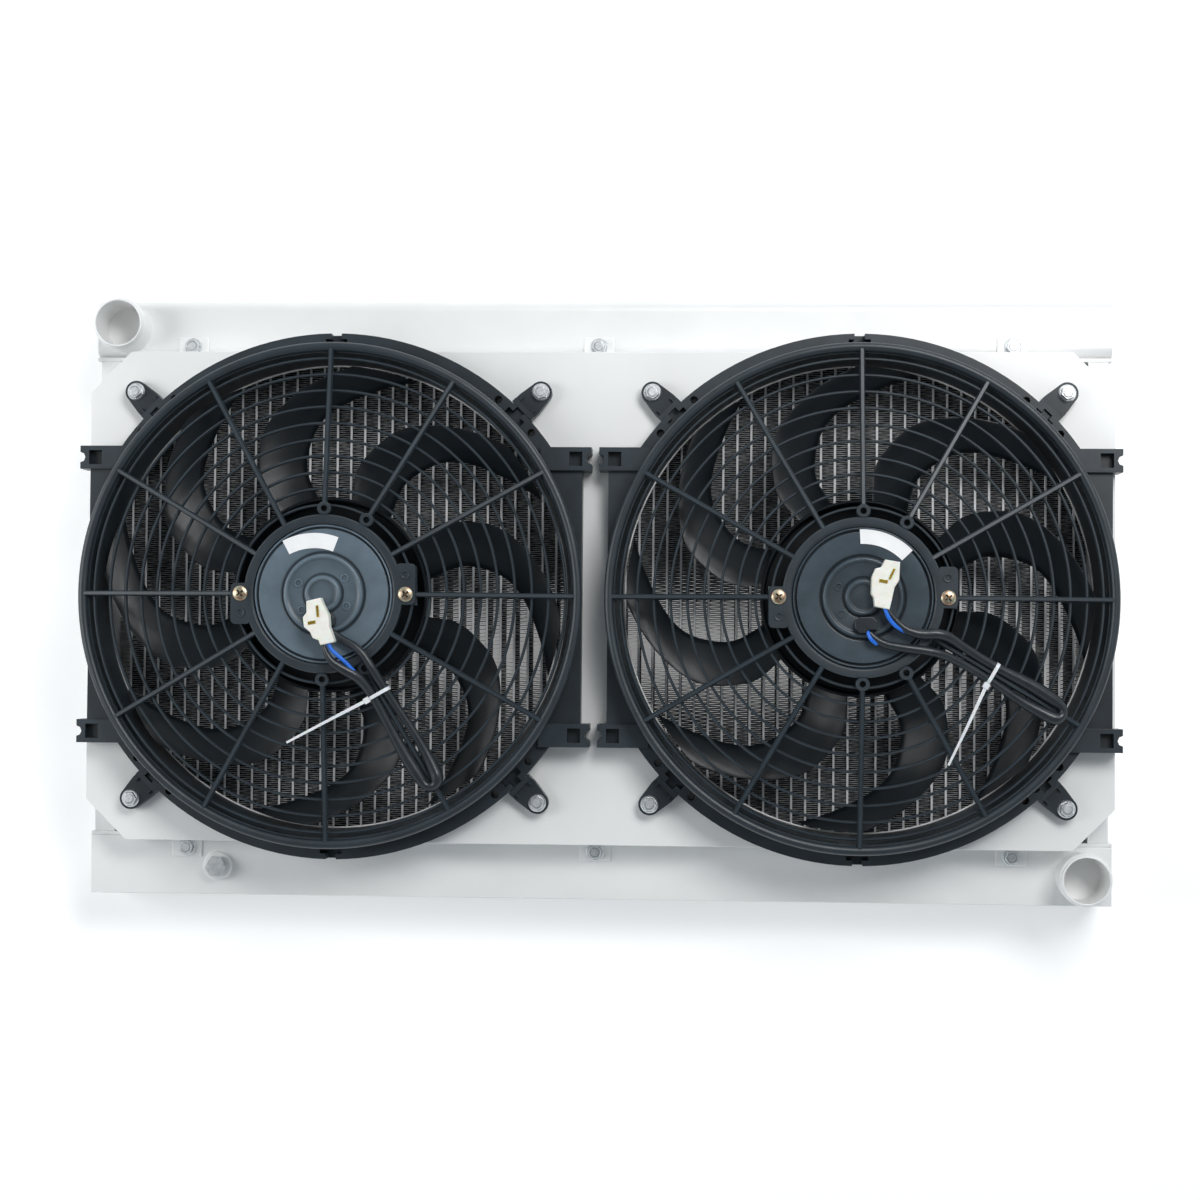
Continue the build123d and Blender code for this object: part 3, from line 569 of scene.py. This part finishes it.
# %% Flanged bolts
flange_radius, flange_height = 6.9 * mm, 1.6 * mm
flange_rim, flange_slope = 0.5 * mm, 0.9 * mm
hex_radius, hex_height, hex_bevel = 5.6 * mm, 5.3 * mm, 0.5 * mm
dish = [(0, -0.7), (2.0, -0.7), (3.1, 0.12), (4.0, 0.02)]
foot_bolt_radius, foot_thickness, cad_head_height = 225 * mm, 9 * mm, 5.5 * mm
foot_bolt_reach = foot_bolt_radius * cos(radians(45))
foot_top = shroud_front + foot_thickness
shroud_tab_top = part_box("shroud_bolts")[1][2] - cad_head_height
first_twist, next_twist, shroud_twist = 17, 23, 10


def bolt(mesh, x, y, base, twist):
    """The head of a bolt, with its hexagon turned by this many degrees."""
    turned(mesh, [(0, base), (flange_radius, base), (flange_radius, base + flange_rim),
                  (flange_radius - flange_slope, base + flange_height), (0, base + flange_height)],
           (x, y, 0), 48, closed=False)
    corners = [(x + hex_radius * cos(radians(60 * k + twist)), y + hex_radius * sin(radians(60 * k + twist)))
               for k in range(6)]
    plate(mesh, corners, base + flange_height, base + hex_height, hex_bevel)
    turned(mesh, sized(dish, base + hex_height), (x, y, 0), 32, closed=False)


mesh = bmesh.new()
for side, centre in centres.items():
    for number, (x, y) in enumerate(((1, 1), (-1, 1), (-1, -1), (1, -1))):
        bolt(mesh, centre.x + x * foot_bolt_reach, y * foot_bolt_reach, foot_top,
             first_twist + next_twist * number)
finished("foot_bolt_heads", mesh, [bright_zinc], ["foot_bolts"], crease=30)

head_half_corners, head_half_flats = 6.93 * mm, 6 * mm
mesh = bmesh.new()
low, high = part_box("shroud_bolts")
for x in (low[0] + head_half_corners, 0, high[0] - head_half_corners):
    for y in (low[1] + head_half_flats, high[1] - head_half_flats):
        bolt(mesh, x, y, shroud_tab_top, shroud_twist)
finished("shroud_bolt_heads", mesh, [bright_zinc], ["shroud_bolts"], crease=30)

# %% [markdown]
# The motor screws are pan heads with a cross recess. The head is turned, and the cross is cut out
# of it with a Boolean modifier, as a punch would.

# %% Motor screws
screw_reach, screw_radius, screw_height = 62.7 * mm, 5.7 * mm, 2.5 * mm
hub_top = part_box("left_grille")[1][2]
screw_rim, cross_reach, cross_turns = 0.7 * mm, 3.1 * mm, (38, 128)
punch_shares = (-1, -0.3, 0.3, 1)
punch_section = [(0.75 * mm, 1 * mm), (-0.75 * mm, 1 * mm), (-0.55 * mm, -2.0 * mm), (0.55 * mm, -2.0 * mm)]
screw_profile = [(0, hub_top), (screw_radius, hub_top), (screw_radius, hub_top + screw_rim)]
screw_profile += [(screw_radius * cos(radians(a)),
                   hub_top + screw_rim + (screw_height - screw_rim) * sin(radians(a)))
                  for a in range(15, 90, 15)]
screw_profile += [(0, hub_top + screw_height)]
for side, centre in centres.items():
    for word, way in (("outer", -1), ("inner", 1)):
        x = centre.x + way * screw_reach
        mesh = bmesh.new()
        turned(mesh, screw_profile, (x, 0, 0), 48, closed=False)
        screw = finished(f"{side}_{word}_motor_screw", mesh, [yellow_zinc], ["motor_screws"])
        mesh = bmesh.new()
        for turn in cross_turns:
            arm = Vector((cos(radians(turn)), sin(radians(turn)), 0)) * cross_reach
            start = Vector((x, 0, hub_top + screw_height))
            run(mesh, [start + arm * share for share in punch_shares], punch_section)
        bmesh.ops.recalc_face_normals(mesh, faces=mesh.faces)
        punch = from_mesh("cross_punch", mesh)
        cut = screw.modifiers.new("cross", "BOOLEAN")
        cut.object, cut.operation, cut.solver, cut.use_self = punch, "DIFFERENCE", "EXACT", True
        graph = bpy.context.evaluated_depsgraph_get()
        recessed = bpy.data.meshes.new_from_object(screw.evaluated_get(graph))
        screw.modifiers.clear()
        screw.data = recessed
        bpy.data.objects.remove(punch)
        print(screw.name, "faces:", len(recessed.polygons))

# %% [markdown]
# ## Grilles
# A grille is one moulding: a rounded outer ring, twelve spokes that climb to the motor, ten thin
# hoops hung under the spokes, and a hub ring with lobes and two ears for the screws. The hoops get
# their round form here, where the CAD model keeps straight stretches, and they reach 0.3 mm up into
# the spokes.

# %% Sizes of a grille
ring_outer, ring_inner, ring_height = 194 * mm, 187 * mm, 5 * mm
crown_height, crown_steps = 3.2 * mm, 10
ring_steps, round_steps = 192, 144
ring_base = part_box("left_fan_housing")[1][2] - shroud_front
ring_top = ring_base + ring_height
hub, hub_depth = hub_top - shroud_front, 9 * mm
hub_profile = [(53.4, -9), (53.0, -1.2), (53.8, -0.4), (54.6, 0), (58.9, 0), (60, -1), (60, -9)]
spoke_root, spoke_count = 59 * mm, 12
lobe_at, lobe_turns, lobe_clearance = 64.5 * mm, (60, 90, 270, 300), 4 * mm
lobe_profile = [(2.3, -9), (2.3, -0.8), (2.9, -0.2), (4.4, -0.2), (5.2, -1), (5.2, -9)]
ear_at, ear_offset, ear_width, ear_length, ear_corner = 62.3 * mm, 7.7 * mm, 16 * mm, 31 * mm, 4 * mm
ear_below_hub, ear_bevel = 0.1 * mm, 0.6 * mm
pip_at, pip_offset = 62.4 * mm, 14.7 * mm
pip_profile = [(2.1, -1), (2.1, 0.6), (2.5, 0.8), (3.1, 0.8), (3.4, 0.5), (3.4, -1)]
spoke_fall = (hub - ring_top) / (ring_inner - spoke_root)
hoop_outer, hoop_pitch, hoop_count = 182.6 * mm, 12.7 * mm, 10
hoop_width, hoop_depth, hoop_below_ridge = 2.1 * mm, 3 * mm, 3.7 * mm
bevel_in, bevel_down = 0.6 * mm, 0.8 * mm
spoke_section = [(-2.0 * mm, -4 * mm), (2.0 * mm, -4 * mm), (1.9 * mm, -1.2 * mm), (1.1 * mm, 0),
                 (-1.1 * mm, 0), (-1.9 * mm, -1.2 * mm)]


def spoke_top(radius):
    """Height of a spoke's ridge above the shroud at this distance from the fan's axis."""
    return hub - spoke_fall * (radius - spoke_root)


# %% Mould both grilles
for side, centre in centres.items():
    mesh = bmesh.new()
    crown = [(ring_inner + (ring_outer - ring_inner) * (0.5 - 0.5 * cos(pi * k / crown_steps)),
              ring_top - crown_height + crown_height * sin(pi * k / crown_steps))
             for k in range(crown_steps + 1)]
    turned(mesh, [(ring_outer, ring_base), (ring_inner, ring_base), *crown], centre, ring_steps)
    for hoop in range(hoop_count):
        outer = hoop_outer - hoop * hoop_pitch
        inner, top = outer - hoop_width, spoke_top(outer) - hoop_below_ridge
        turned(mesh, [(inner, top - hoop_depth), (inner, top - bevel_down), (inner + bevel_in, top),
                      (outer - bevel_in, top), (outer, top - bevel_down), (outer, top - hoop_depth)],
               centre, round_steps)
    for spoke in range(spoke_count):
        turn = 2 * pi * spoke / spoke_count
        outward = Vector((cos(turn), sin(turn), 0))
        root = lobe_at + lobe_clearance if round(degrees(turn)) in lobe_turns else spoke_root
        line = [centre + outward * radius + Vector((0, 0, spoke_top(radius)))
                for radius in (root, (root + ring_inner) / 2, ring_inner + 2 * mm)]
        run(mesh, line, spoke_section)
    turned(mesh, sized(hub_profile, hub), centre, round_steps)
    for turn in lobe_turns:
        spot = centre + Vector((cos(radians(turn)), sin(radians(turn)), 0)) * lobe_at
        turned(mesh, sized(lobe_profile, hub), spot, 32)
    for way in (-1, 1):
        outline = [(centre.x + way * ear_at + x, way * ear_offset + y)
                   for x, y in rounded(ear_width, ear_length, ear_corner)]
        plate(mesh, outline, shroud_front + hub - hub_depth, shroud_front + hub - ear_below_hub, ear_bevel)
        spot = centre + Vector((way * pip_at, way * pip_offset, 0))
        turned(mesh, sized(pip_profile, hub), spot, 32)
    finished(f"{side}_grille_moulding", mesh, [black_nylon], [f"{side}_grille"])


# %% [markdown]
# ## Fans
# A fan is moulded in one piece: a cup-shaped hub and eight sickle blades. Six stations say how a
# blade twists and sweeps. Each gives its distance from the axis, the angles of the leading and the
# trailing edge, and the heights of both. A smooth curve runs through the stations. The section is
# thick at the leading edge and thin at the trailing one, as on any fan that must be quiet.

# %% Shape of a blade
stations = (
    (74.2, -12.0, 10.5, 8.5, 30.0),
    (98.0, -8.5, 11.5, 8.0, 29.0),
    (120.0, -12.0, 6.5, 8.5, 28.0),
    (140.0, -18.5, 0.0, 9.5, 27.0),
    (160.0, -31.5, -12.5, 10.5, 26.0),
    (177.8, -42.5, -26.5, 11.5, 25.0),
)
rest_turns = {"left": 22.0, "right": 27.5}
blade_count, blade_steps = 8, 20
blade_thickness, blade_camber = 2.6, 1.6
leading_share, thinning, edge_share = 1.15, 0.75, 0.03


def between(values, share):
    """A smooth curve through evenly spaced values, read at a share from 0 to 1."""
    spot = share * (len(values) - 1)
    index = min(int(spot), len(values) - 2)
    t = spot - index
    a = values[max(index - 1, 0)]
    b, c = values[index], values[index + 1]
    d = values[min(index + 2, len(values) - 1)]
    return b + 0.5 * t * (c - a + t * (2 * a - 5 * b + 4 * c - d + t * (3 * (b - c) + d - a)))


def blade_rings(turn):
    """Closed sections of one blade, from its root to its tip."""
    chord = [0.0, 0.04, 0.12, 0.25, 0.4, 0.55, 0.7, 0.85, 0.96, 1.0]
    rings = []
    for step in range(blade_steps + 1):
        radius, lead, trail, low, high = (
            between([station[item] for station in stations], step / blade_steps) for item in range(5))
        ring = []
        for way, shares in ((1, chord), (-1, list(reversed(chord)))):
            for share in shares:
                rounding = min(1, (share * (1 - share) / edge_share) ** 0.5)
                thick = blade_thickness * (leading_share - thinning * share) * rounding
                camber = blade_camber * sin(pi * share)
                angle = radians(lead + (trail - lead) * share + turn)
                height = low + (high - low) * share - blade_thickness / 2 + camber + way * thick / 2
                ring.append((radius * mm * cos(angle), radius * mm * sin(angle), height * mm))
        rings.append(ring)
    return rings


# %% Mould both fans
cup = [(74.0, 4.0), (75.0, 5.0), (75.0, 31.2), (74.2, 32.0), (73.3, 32.0), (72.5, 31.2), (72.5, 8.0),
       (71.0, 6.5), (12.0, 6.5), (10.0, 8.5), (10.0, 14.0), (4.0, 14.0), (4.0, 4.0)]
for side, centre in centres.items():
    mesh = bmesh.new()
    turned(mesh, sized(cup), centre, 128)
    for number in range(blade_count):
        rings = [[mesh.verts.new(centre + Vector(point)) for point in ring]
                 for ring in blade_rings(360 / blade_count * number + rest_turns[side])]
        for near, far in zip(rings, rings[1:]):
            for k in range(len(near)):
                mesh.faces.new((near[k - 1], near[k], far[k], far[k - 1]))
        mesh.faces.new(rings[0])
        mesh.faces.new(rings[-1])
    finished(f"{side}_fan_moulding", mesh, [blade_nylon], [f"{side}_fan_rotor"],
             sides[side], crease=40)

# %% [markdown]
# ## Motors
# The end of each motor is a pressed steel cover: a flat disc with a rolled rim, a raised step, four
# small dimples with raised lips, and a boss over the bearing. It is turned in one profile, and the
# dimples are turned on it afterwards.

# %% Motor covers
cover = [(52.6, 57.0), (52.6, 58.8), (52.2, 59.6), (51.5, 59.9), (50.9, 59.5), (50.5, 57.0), (49.6, 57.0),
         (49.2, 58.9), (48.5, 59.2), (33.0, 59.0), (32.0, 57.8), (30.9, 57.8), (30.3, 59.6), (29.9, 60.9),
         (29.2, 61.7), (28.2, 61.9), (27.2, 61.6), (26.5, 60.9), (25.5, 60.6), (16.4, 60.5), (15.6, 59.8),
         (14.6, 59.8), (14.0, 61.6), (13.4, 63.2), (12.6, 63.9), (11.6, 64.1), (10.7, 63.8), (10.1, 62.9),
         (9.2, 62.7), (6.0, 62.9), (0.0, 63.0)]
dimple_at, dimple_turns = 20.2, (36, 157, 218, 333)
dimple = [(3.3, 60.4), (2.9, 61.5), (2.3, 61.5), (1.8, 60.3), (0, 60.3)]
for side, centre in centres.items():
    mesh = bmesh.new()
    turned(mesh, sized(cover), centre, 128, closed=False)
    for turn in dimple_turns:
        spot = centre + Vector((cos(radians(turn)), sin(radians(turn)), 0)) * dimple_at * mm
        turned(mesh, sized(dimple), spot, 24, closed=False)
    finished(f"{side}_motor_end_cover", mesh, [motor_paints[side]], ["motor_covers"],
             crease=60)
eased("motor_cans", 0.4 * mm, motor_paints["right"])
eased("lead_caps", 1.2 * mm, sleeve_pvc)

# %% [markdown]
# ## CAD nodes that keep their shape
# What is inside the motors, and the labels, need only their materials.

# %% Materials for kept nodes
kept = {
    "motor_magnets": magnet_ferrite, "motor_bushes": sintered_bronze,
    "left_motor_shaft": ground_steel, "right_motor_shaft": ground_steel,
    "left_armature": armature_steel, "right_armature": armature_steel,
    "rating_labels": label_paper,
}
for name, finish in kept.items():
    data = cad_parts[name].data
    data.materials.clear()
    data.materials.append(finish)

# %% [markdown]
# ## Leads
# Each motor's lead leaves its cap, runs out along a spoke, folds back at a loop and ends in a plug
# over the motor. A sleeve 5.5 mm thick holds two wires. The points are those of the CAD route, and a
# NURBS line takes them as control points, so the lead bends softly.

# %% Routes of the leads
routes = {
    "left": (
        (4.5, -26.5, 63.5), (12.0, -33.0, 63.6), (29.0, -41.0, 65.4), (39.3, -57.0, 65.4),
        (47.6, -72.2, 57.1), (61.9, -93.6, 52.6), (74.8, -113.9, 48.4), (82.8, -130.0, 46.5),
        (86.9, -139.5, 47.1), (83.7, -145.0, 47.3), (77.3, -145.0, 47.1), (71.4, -136.6, 46.5),
        (61.7, -121.4, 48.5), (50.4, -100.2, 52.6), (38.7, -77.3, 57.1), (29.3, -62.8, 65.4),
        (17.0, -56.5, 68.5), (5.5, -49.0, 71.5), (2.0, -36.5, 71.5),
    ),
    "right": (
        (4.5, -26.5, 63.5), (11.0, -34.0, 64.2), (30.0, -37.5, 65.3), (53.2, -39.9, 65.2),
        (70.1, -46.6, 57.8), (94.2, -60.3, 52.7), (117.6, -76.2, 47.8), (135.4, -85.5, 45.5),
        (144.6, -89.9, 46.1), (150.2, -86.7, 46.3), (150.1, -80.3, 46.1), (141.9, -74.3, 45.5),
        (124.9, -63.6, 47.8), (99.3, -51.4, 52.7), (75.5, -37.2, 57.8), (58.9, -25.9, 65.4),
        (42.0, -28.0, 65.6), (26.0, -22.0, 66.8), (15.0, -6.5, 69.0),
    ),
}
lead_radius = 2.75 * mm


def tube(name, points, radius, finish, widths=None):
    """A round tube along a smooth line that takes the points as control points."""
    data = bpy.data.curves.new(name, "CURVE")
    data.dimensions = "3D"
    data.bevel_depth, data.bevel_resolution, data.resolution_u = radius, 5, 10
    data.use_fill_caps = True
    line = data.splines.new("NURBS")
    line.points.add(len(points) - 1)
    for index, point in enumerate(points):
        line.points[index].co = (*point, 1)
        line.points[index].radius = widths[index] if widths else 1.0
    line.order_u = 3
    line.use_endpoint_u = True
    piece = linked(name, data)
    data.materials.append(finish)
    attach(piece, "radiator")
    return piece


# %% [markdown]
# A plug is a small white housing with a stepped outline: a tail that takes the wires, a broad body
# and a narrower nose. Its outline is a plate with bevelled edges. Two brass terminals show on it.
# Every outline is given along and across its plug, from the end of the lead.

# %% Outlines of the plugs
plug_headings = {"left": 105.7, "right": 85.8}
plug_outlines = {
    "left": ((-2, 1.4), (2, 1.8), (4.7, 5.6), (9.5, 6.4), (14.5, 9.8), (21.5, 8.8), (24.5, 5.2),
             (32.6, 3.2), (32.2, -8.0), (27.4, -8.4), (18.4, -10.4), (9.8, -8.8), (-1.4, -9.6),
             (-2.4, -8.8)),
    "right": ((-1, 7.4), (5.5, 8.6), (8.2, 10.6), (20.3, 11.2), (27.0, 9.0), (28.4, 4.8), (34.2, 2.3),
              (33.2, -8.6), (20.0, -9.0), (14.1, -6.0), (4.0, -4.6), (-2.4, -3.6)),
}
terminal_strips = {
    "left": (((14.6, 0.4), (17.0, 0.2), (17.4, 6.0), (15.0, 6.2)),
             ((18.6, -3.4), (27.2, -4.9), (27.6, -3.1), (18.9, -1.6))),
    "right": (((16.6, -0.6), (19.0, -0.8), (19.6, 5.6), (17.2, 5.8)),
              ((19.6, -2.6), (27.6, -5.6), (28.2, -4.0), (20.2, -0.9))),
}


def placed(outline, end, heading):
    """Lays an outline out at the end of a lead."""
    turn = radians(heading)
    along, across = Vector((cos(turn), sin(turn), 0)), Vector((-sin(turn), cos(turn), 0))
    spots = [end + along * x * mm + across * y * mm for x, y in outline]
    return [(spot.x, spot.y) for spot in spots]


# %% [markdown]
# The real sleeve is flattened and creased, above all at its loop. Here it stays round, and a width
# for each control point, as a share of 5.5 mm, makes it swell and narrow where the real one does. A
# short stretch of blue wire shows where the sleeve ends.

# %% Widths of the sleeve and routes of the blue wires
sleeve_widths = [1.0, 1.1, 1.2, 1.25, 1.2, 1.1, 1.3, 1.8, 1.9, 1.2,
                 1.2, 1.9, 1.8, 1.3, 1.3, 1.5, 1.5, 1.0, 0.5]
wire_radius = 1.5 * mm
blue_wires = {
    "left_plug": ((5, -33.5, 71.5), (7.5, -41, 71.8), (14, -46.5, 71.4), (21, -53, 69.5),
                  (27.5, -60.5, 67.0)),
    "right_plug": ((14.5, -3.5, 69.5), (15.5, -10, 70), (19, -17, 69.5), (24.5, -22.5, 68.5),
                   (33, -26.5, 65.5)),
    "right_cap": ((3.2, -25.5, 64.5), (4, -29, 66.3), (6.5, -32.5, 66.2), (10, -34.5, 64.5)),
}

# %% Plugs and leads
plug_below, plug_above, plug_bevel = 5 * mm, 4 * mm, 0.6 * mm
strip_low, strip_high, strip_bevel = 3 * mm, 4.6 * mm, 0.2 * mm
for side, centre in centres.items():
    points = [centre + Vector(point) * mm for point in routes[side]]
    end, heading = points[-1], plug_headings[side]
    mesh = bmesh.new()
    plate(mesh, placed(plug_outlines[side], end, heading), end.z - plug_below, end.z + plug_above,
          plug_bevel)
    plug = finished(f"{side}_plug_housing", mesh, [white_nylon], ["lead_plugs"])
    mesh = bmesh.new()
    for strip in terminal_strips[side]:
        plate(mesh, placed(strip, end, heading), end.z + strip_low, end.z + strip_high, strip_bevel)
    brass = finished(f"{side}_plug_brass", mesh, [tinned_brass], ["plug_terminals"])

    lead = tube(f"{side}_lead_sleeve", points, lead_radius, sleeve_pvc, sleeve_widths)
    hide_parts(f"{side}_lead")
    wires = {
        place: tube(f"blue_wire_at_{place}", [centre + Vector(point) * mm for point in blue_wires[place]],
                    wire_radius, blue_pvc)
        for place in blue_wires if place.startswith(side)
    }
    print(side, "lead control points:", len(points))


# %% [markdown]
# ## Cable ties
# A tie is a thin white strap pulled tight round both runs of the lead and the spoke. Its head sits
# beside them, and its cut tail lies out over the grille.

# %% Cable ties
tie_places = {"left": (-60, 86.3, (-27.5, -112.5, 54.5)), "right": (-30, 111.7, (64.5, -124.5, 50.8))}
strap = [(-1.3 * mm, -0.6 * mm), (1.3 * mm, -0.6 * mm), (1.3 * mm, 0.6 * mm), (-1.3 * mm, 0.6 * mm)]
below_ridge, above_ridge, half_width, tie_corner = 4.35 * mm, 3.85 * mm, 8.4 * mm, 3.6 * mm
strap_half_thickness = 0.6 * mm
head_half, head_bevel_at, head_beside, head_below = 2.4 * mm, 1.9 * mm, 2.0 * mm, 2.8 * mm
tail_start, tail_rise, tail_steps, tail_taper = 1.2 * mm, 2.5 * mm, 12, 0.35
head_section = [(2.2 * mm, 2.2 * mm), (-2.2 * mm, 2.2 * mm), (-2.2 * mm, -2.2 * mm), (2.2 * mm, -2.2 * mm)]
for side, centre in centres.items():
    angle, radius, tail_end = tie_places[side]
    turn = radians(angle)
    outward, leftward = Vector((cos(turn), sin(turn), 0)), Vector((-sin(turn), cos(turn), 0))
    top = spoke_top(radius * mm)
    low, high = top - below_ridge, top + above_ridge
    spot = centre + outward * radius * mm + Vector((0, 0, (low + high) / 2))
    half_height = (high - low) / 2 + strap_half_thickness
    mesh = bmesh.new()
    loop = [spot + leftward * x + Vector((0, 0, z))
            for x, z in rounded(2 * half_width, 2 * half_height, tie_corner)]
    rings = []
    for index, point in enumerate(loop):
        along = (loop[(index + 1) % len(loop)] - loop[index - 1]).normalized()
        rise = outward.cross(along).normalized()
        rings.append([mesh.verts.new(point + outward * a + rise * b) for a, b in strap])
    for near, far in zip(rings, rings[1:] + rings[:1]):
        for k in range(4):
            mesh.faces.new((near[k], near[k - 1], far[k - 1], far[k]))
    head = spot - leftward * (half_width + head_beside) + Vector((0, 0, half_height - head_below))
    head_line = [head + Vector((0, 0, height))
                 for height in (-head_half, -head_bevel_at, head_bevel_at, head_half)]
    run(mesh, head_line, head_section, up=outward)
    start = head + Vector((0, 0, tail_start))
    end = centre + Vector(tail_end) * mm
    rise = Vector((0, 0, tail_rise))
    tail = [start.lerp(end, k / tail_steps) + rise * sin(pi * k / tail_steps)
            for k in range(tail_steps + 1)]
    run(mesh, tail, strap, scale=lambda share: 1.0 - tail_taper * share)
    finished(f"{side}_cable_tie", mesh, [tie_nylon], ["cable_ties"])

# %% [markdown]
# ## Floor and background
# The photograph has a plain white background. The floor is white paint that takes the object's
# soft shadow. For the camera and for reflections it also glows a little, so that it reaches pure
# white where nothing shades it, while the light on the object stays at a plain level. The lamps
# hardly reach its far parts, so the glow grows from 1 m to 3 m away.

# %% Floor
floor_half = 6
mesh = bmesh.new()
bmesh.ops.create_grid(mesh, x_segments=1, y_segments=1, size=floor_half)
floor_paint, tree, shader = new_finish("white_floor", "f4f4f4", 0.9)
shader.inputs["Emission Color"].default_value = (1, 1, 1, 1)
near_glow, far_glow = 0.3, 0.75


def seen_directly(tree):
    """One for rays from the camera, from a mirror or through glass, and zero for the rest."""
    rays = add(tree, "ShaderNodeLightPath").outputs
    either = add(tree, "ShaderNodeMath", {0: rays["Is Camera Ray"], 1: rays["Is Glossy Ray"]},
                 operation="MAXIMUM")
    return add(tree, "ShaderNodeMath", {0: either.outputs[0], 1: rays["Is Transmission Ray"]},
               operation="MAXIMUM").outputs[0]


place = add(tree, "ShaderNodeTexCoord").outputs["Object"]
away = add(tree, "ShaderNodeVectorMath", {0: place}, operation="LENGTH").outputs["Value"]
growing = add(tree, "ShaderNodeMapRange", {"Value": away, "From Min": 1.0, "From Max": 3.0,
                                           "To Min": near_glow, "To Max": far_glow})
glow = add(tree, "ShaderNodeMath", {0: seen_directly(tree), 1: growing.outputs[0]}, operation="MULTIPLY")
tree.links.new(glow.outputs[0], shader.inputs["Emission Strength"])
floor = from_mesh("floor", mesh, floor_paint)

# %% [markdown]
# The room around is pale at the horizon, for every kind of ray, and dims towards a cool grey
# ceiling. The camera itself sees plain white wherever it looks past the floor.

# %% World
world = bpy.data.worlds.new("world")
bpy.context.scene.world = world
world.use_nodes = True
tree = world.node_tree
tree.nodes.clear()
direction = add(tree, "ShaderNodeTexCoord").outputs["Generated"]
height = add(tree, "ShaderNodeSeparateXYZ", {"Vector": direction}).outputs["Z"]
dimming = add(tree, "ShaderNodeMapRange", {"Value": height, "From Min": 0.1, "From Max": 0.75,
                                           "To Min": 1.0, "To Max": 0.2})
room = add(tree, "ShaderNodeBackground", {"Color": (0.86, 0.94, 1, 1), "Strength": dimming.outputs[0]})
white = add(tree, "ShaderNodeBackground", {"Color": (1, 1, 1, 1), "Strength": 1.0})
from_camera = add(tree, "ShaderNodeLightPath").outputs["Is Camera Ray"]
mixed = add(tree, "ShaderNodeMixShader", {0: from_camera, 1: room.outputs[0], 2: white.outputs[0]})
add(tree, "ShaderNodeOutputWorld", {"Surface": mixed.outputs[0]})
bpy.context.scene.view_settings.view_transform = "Standard"
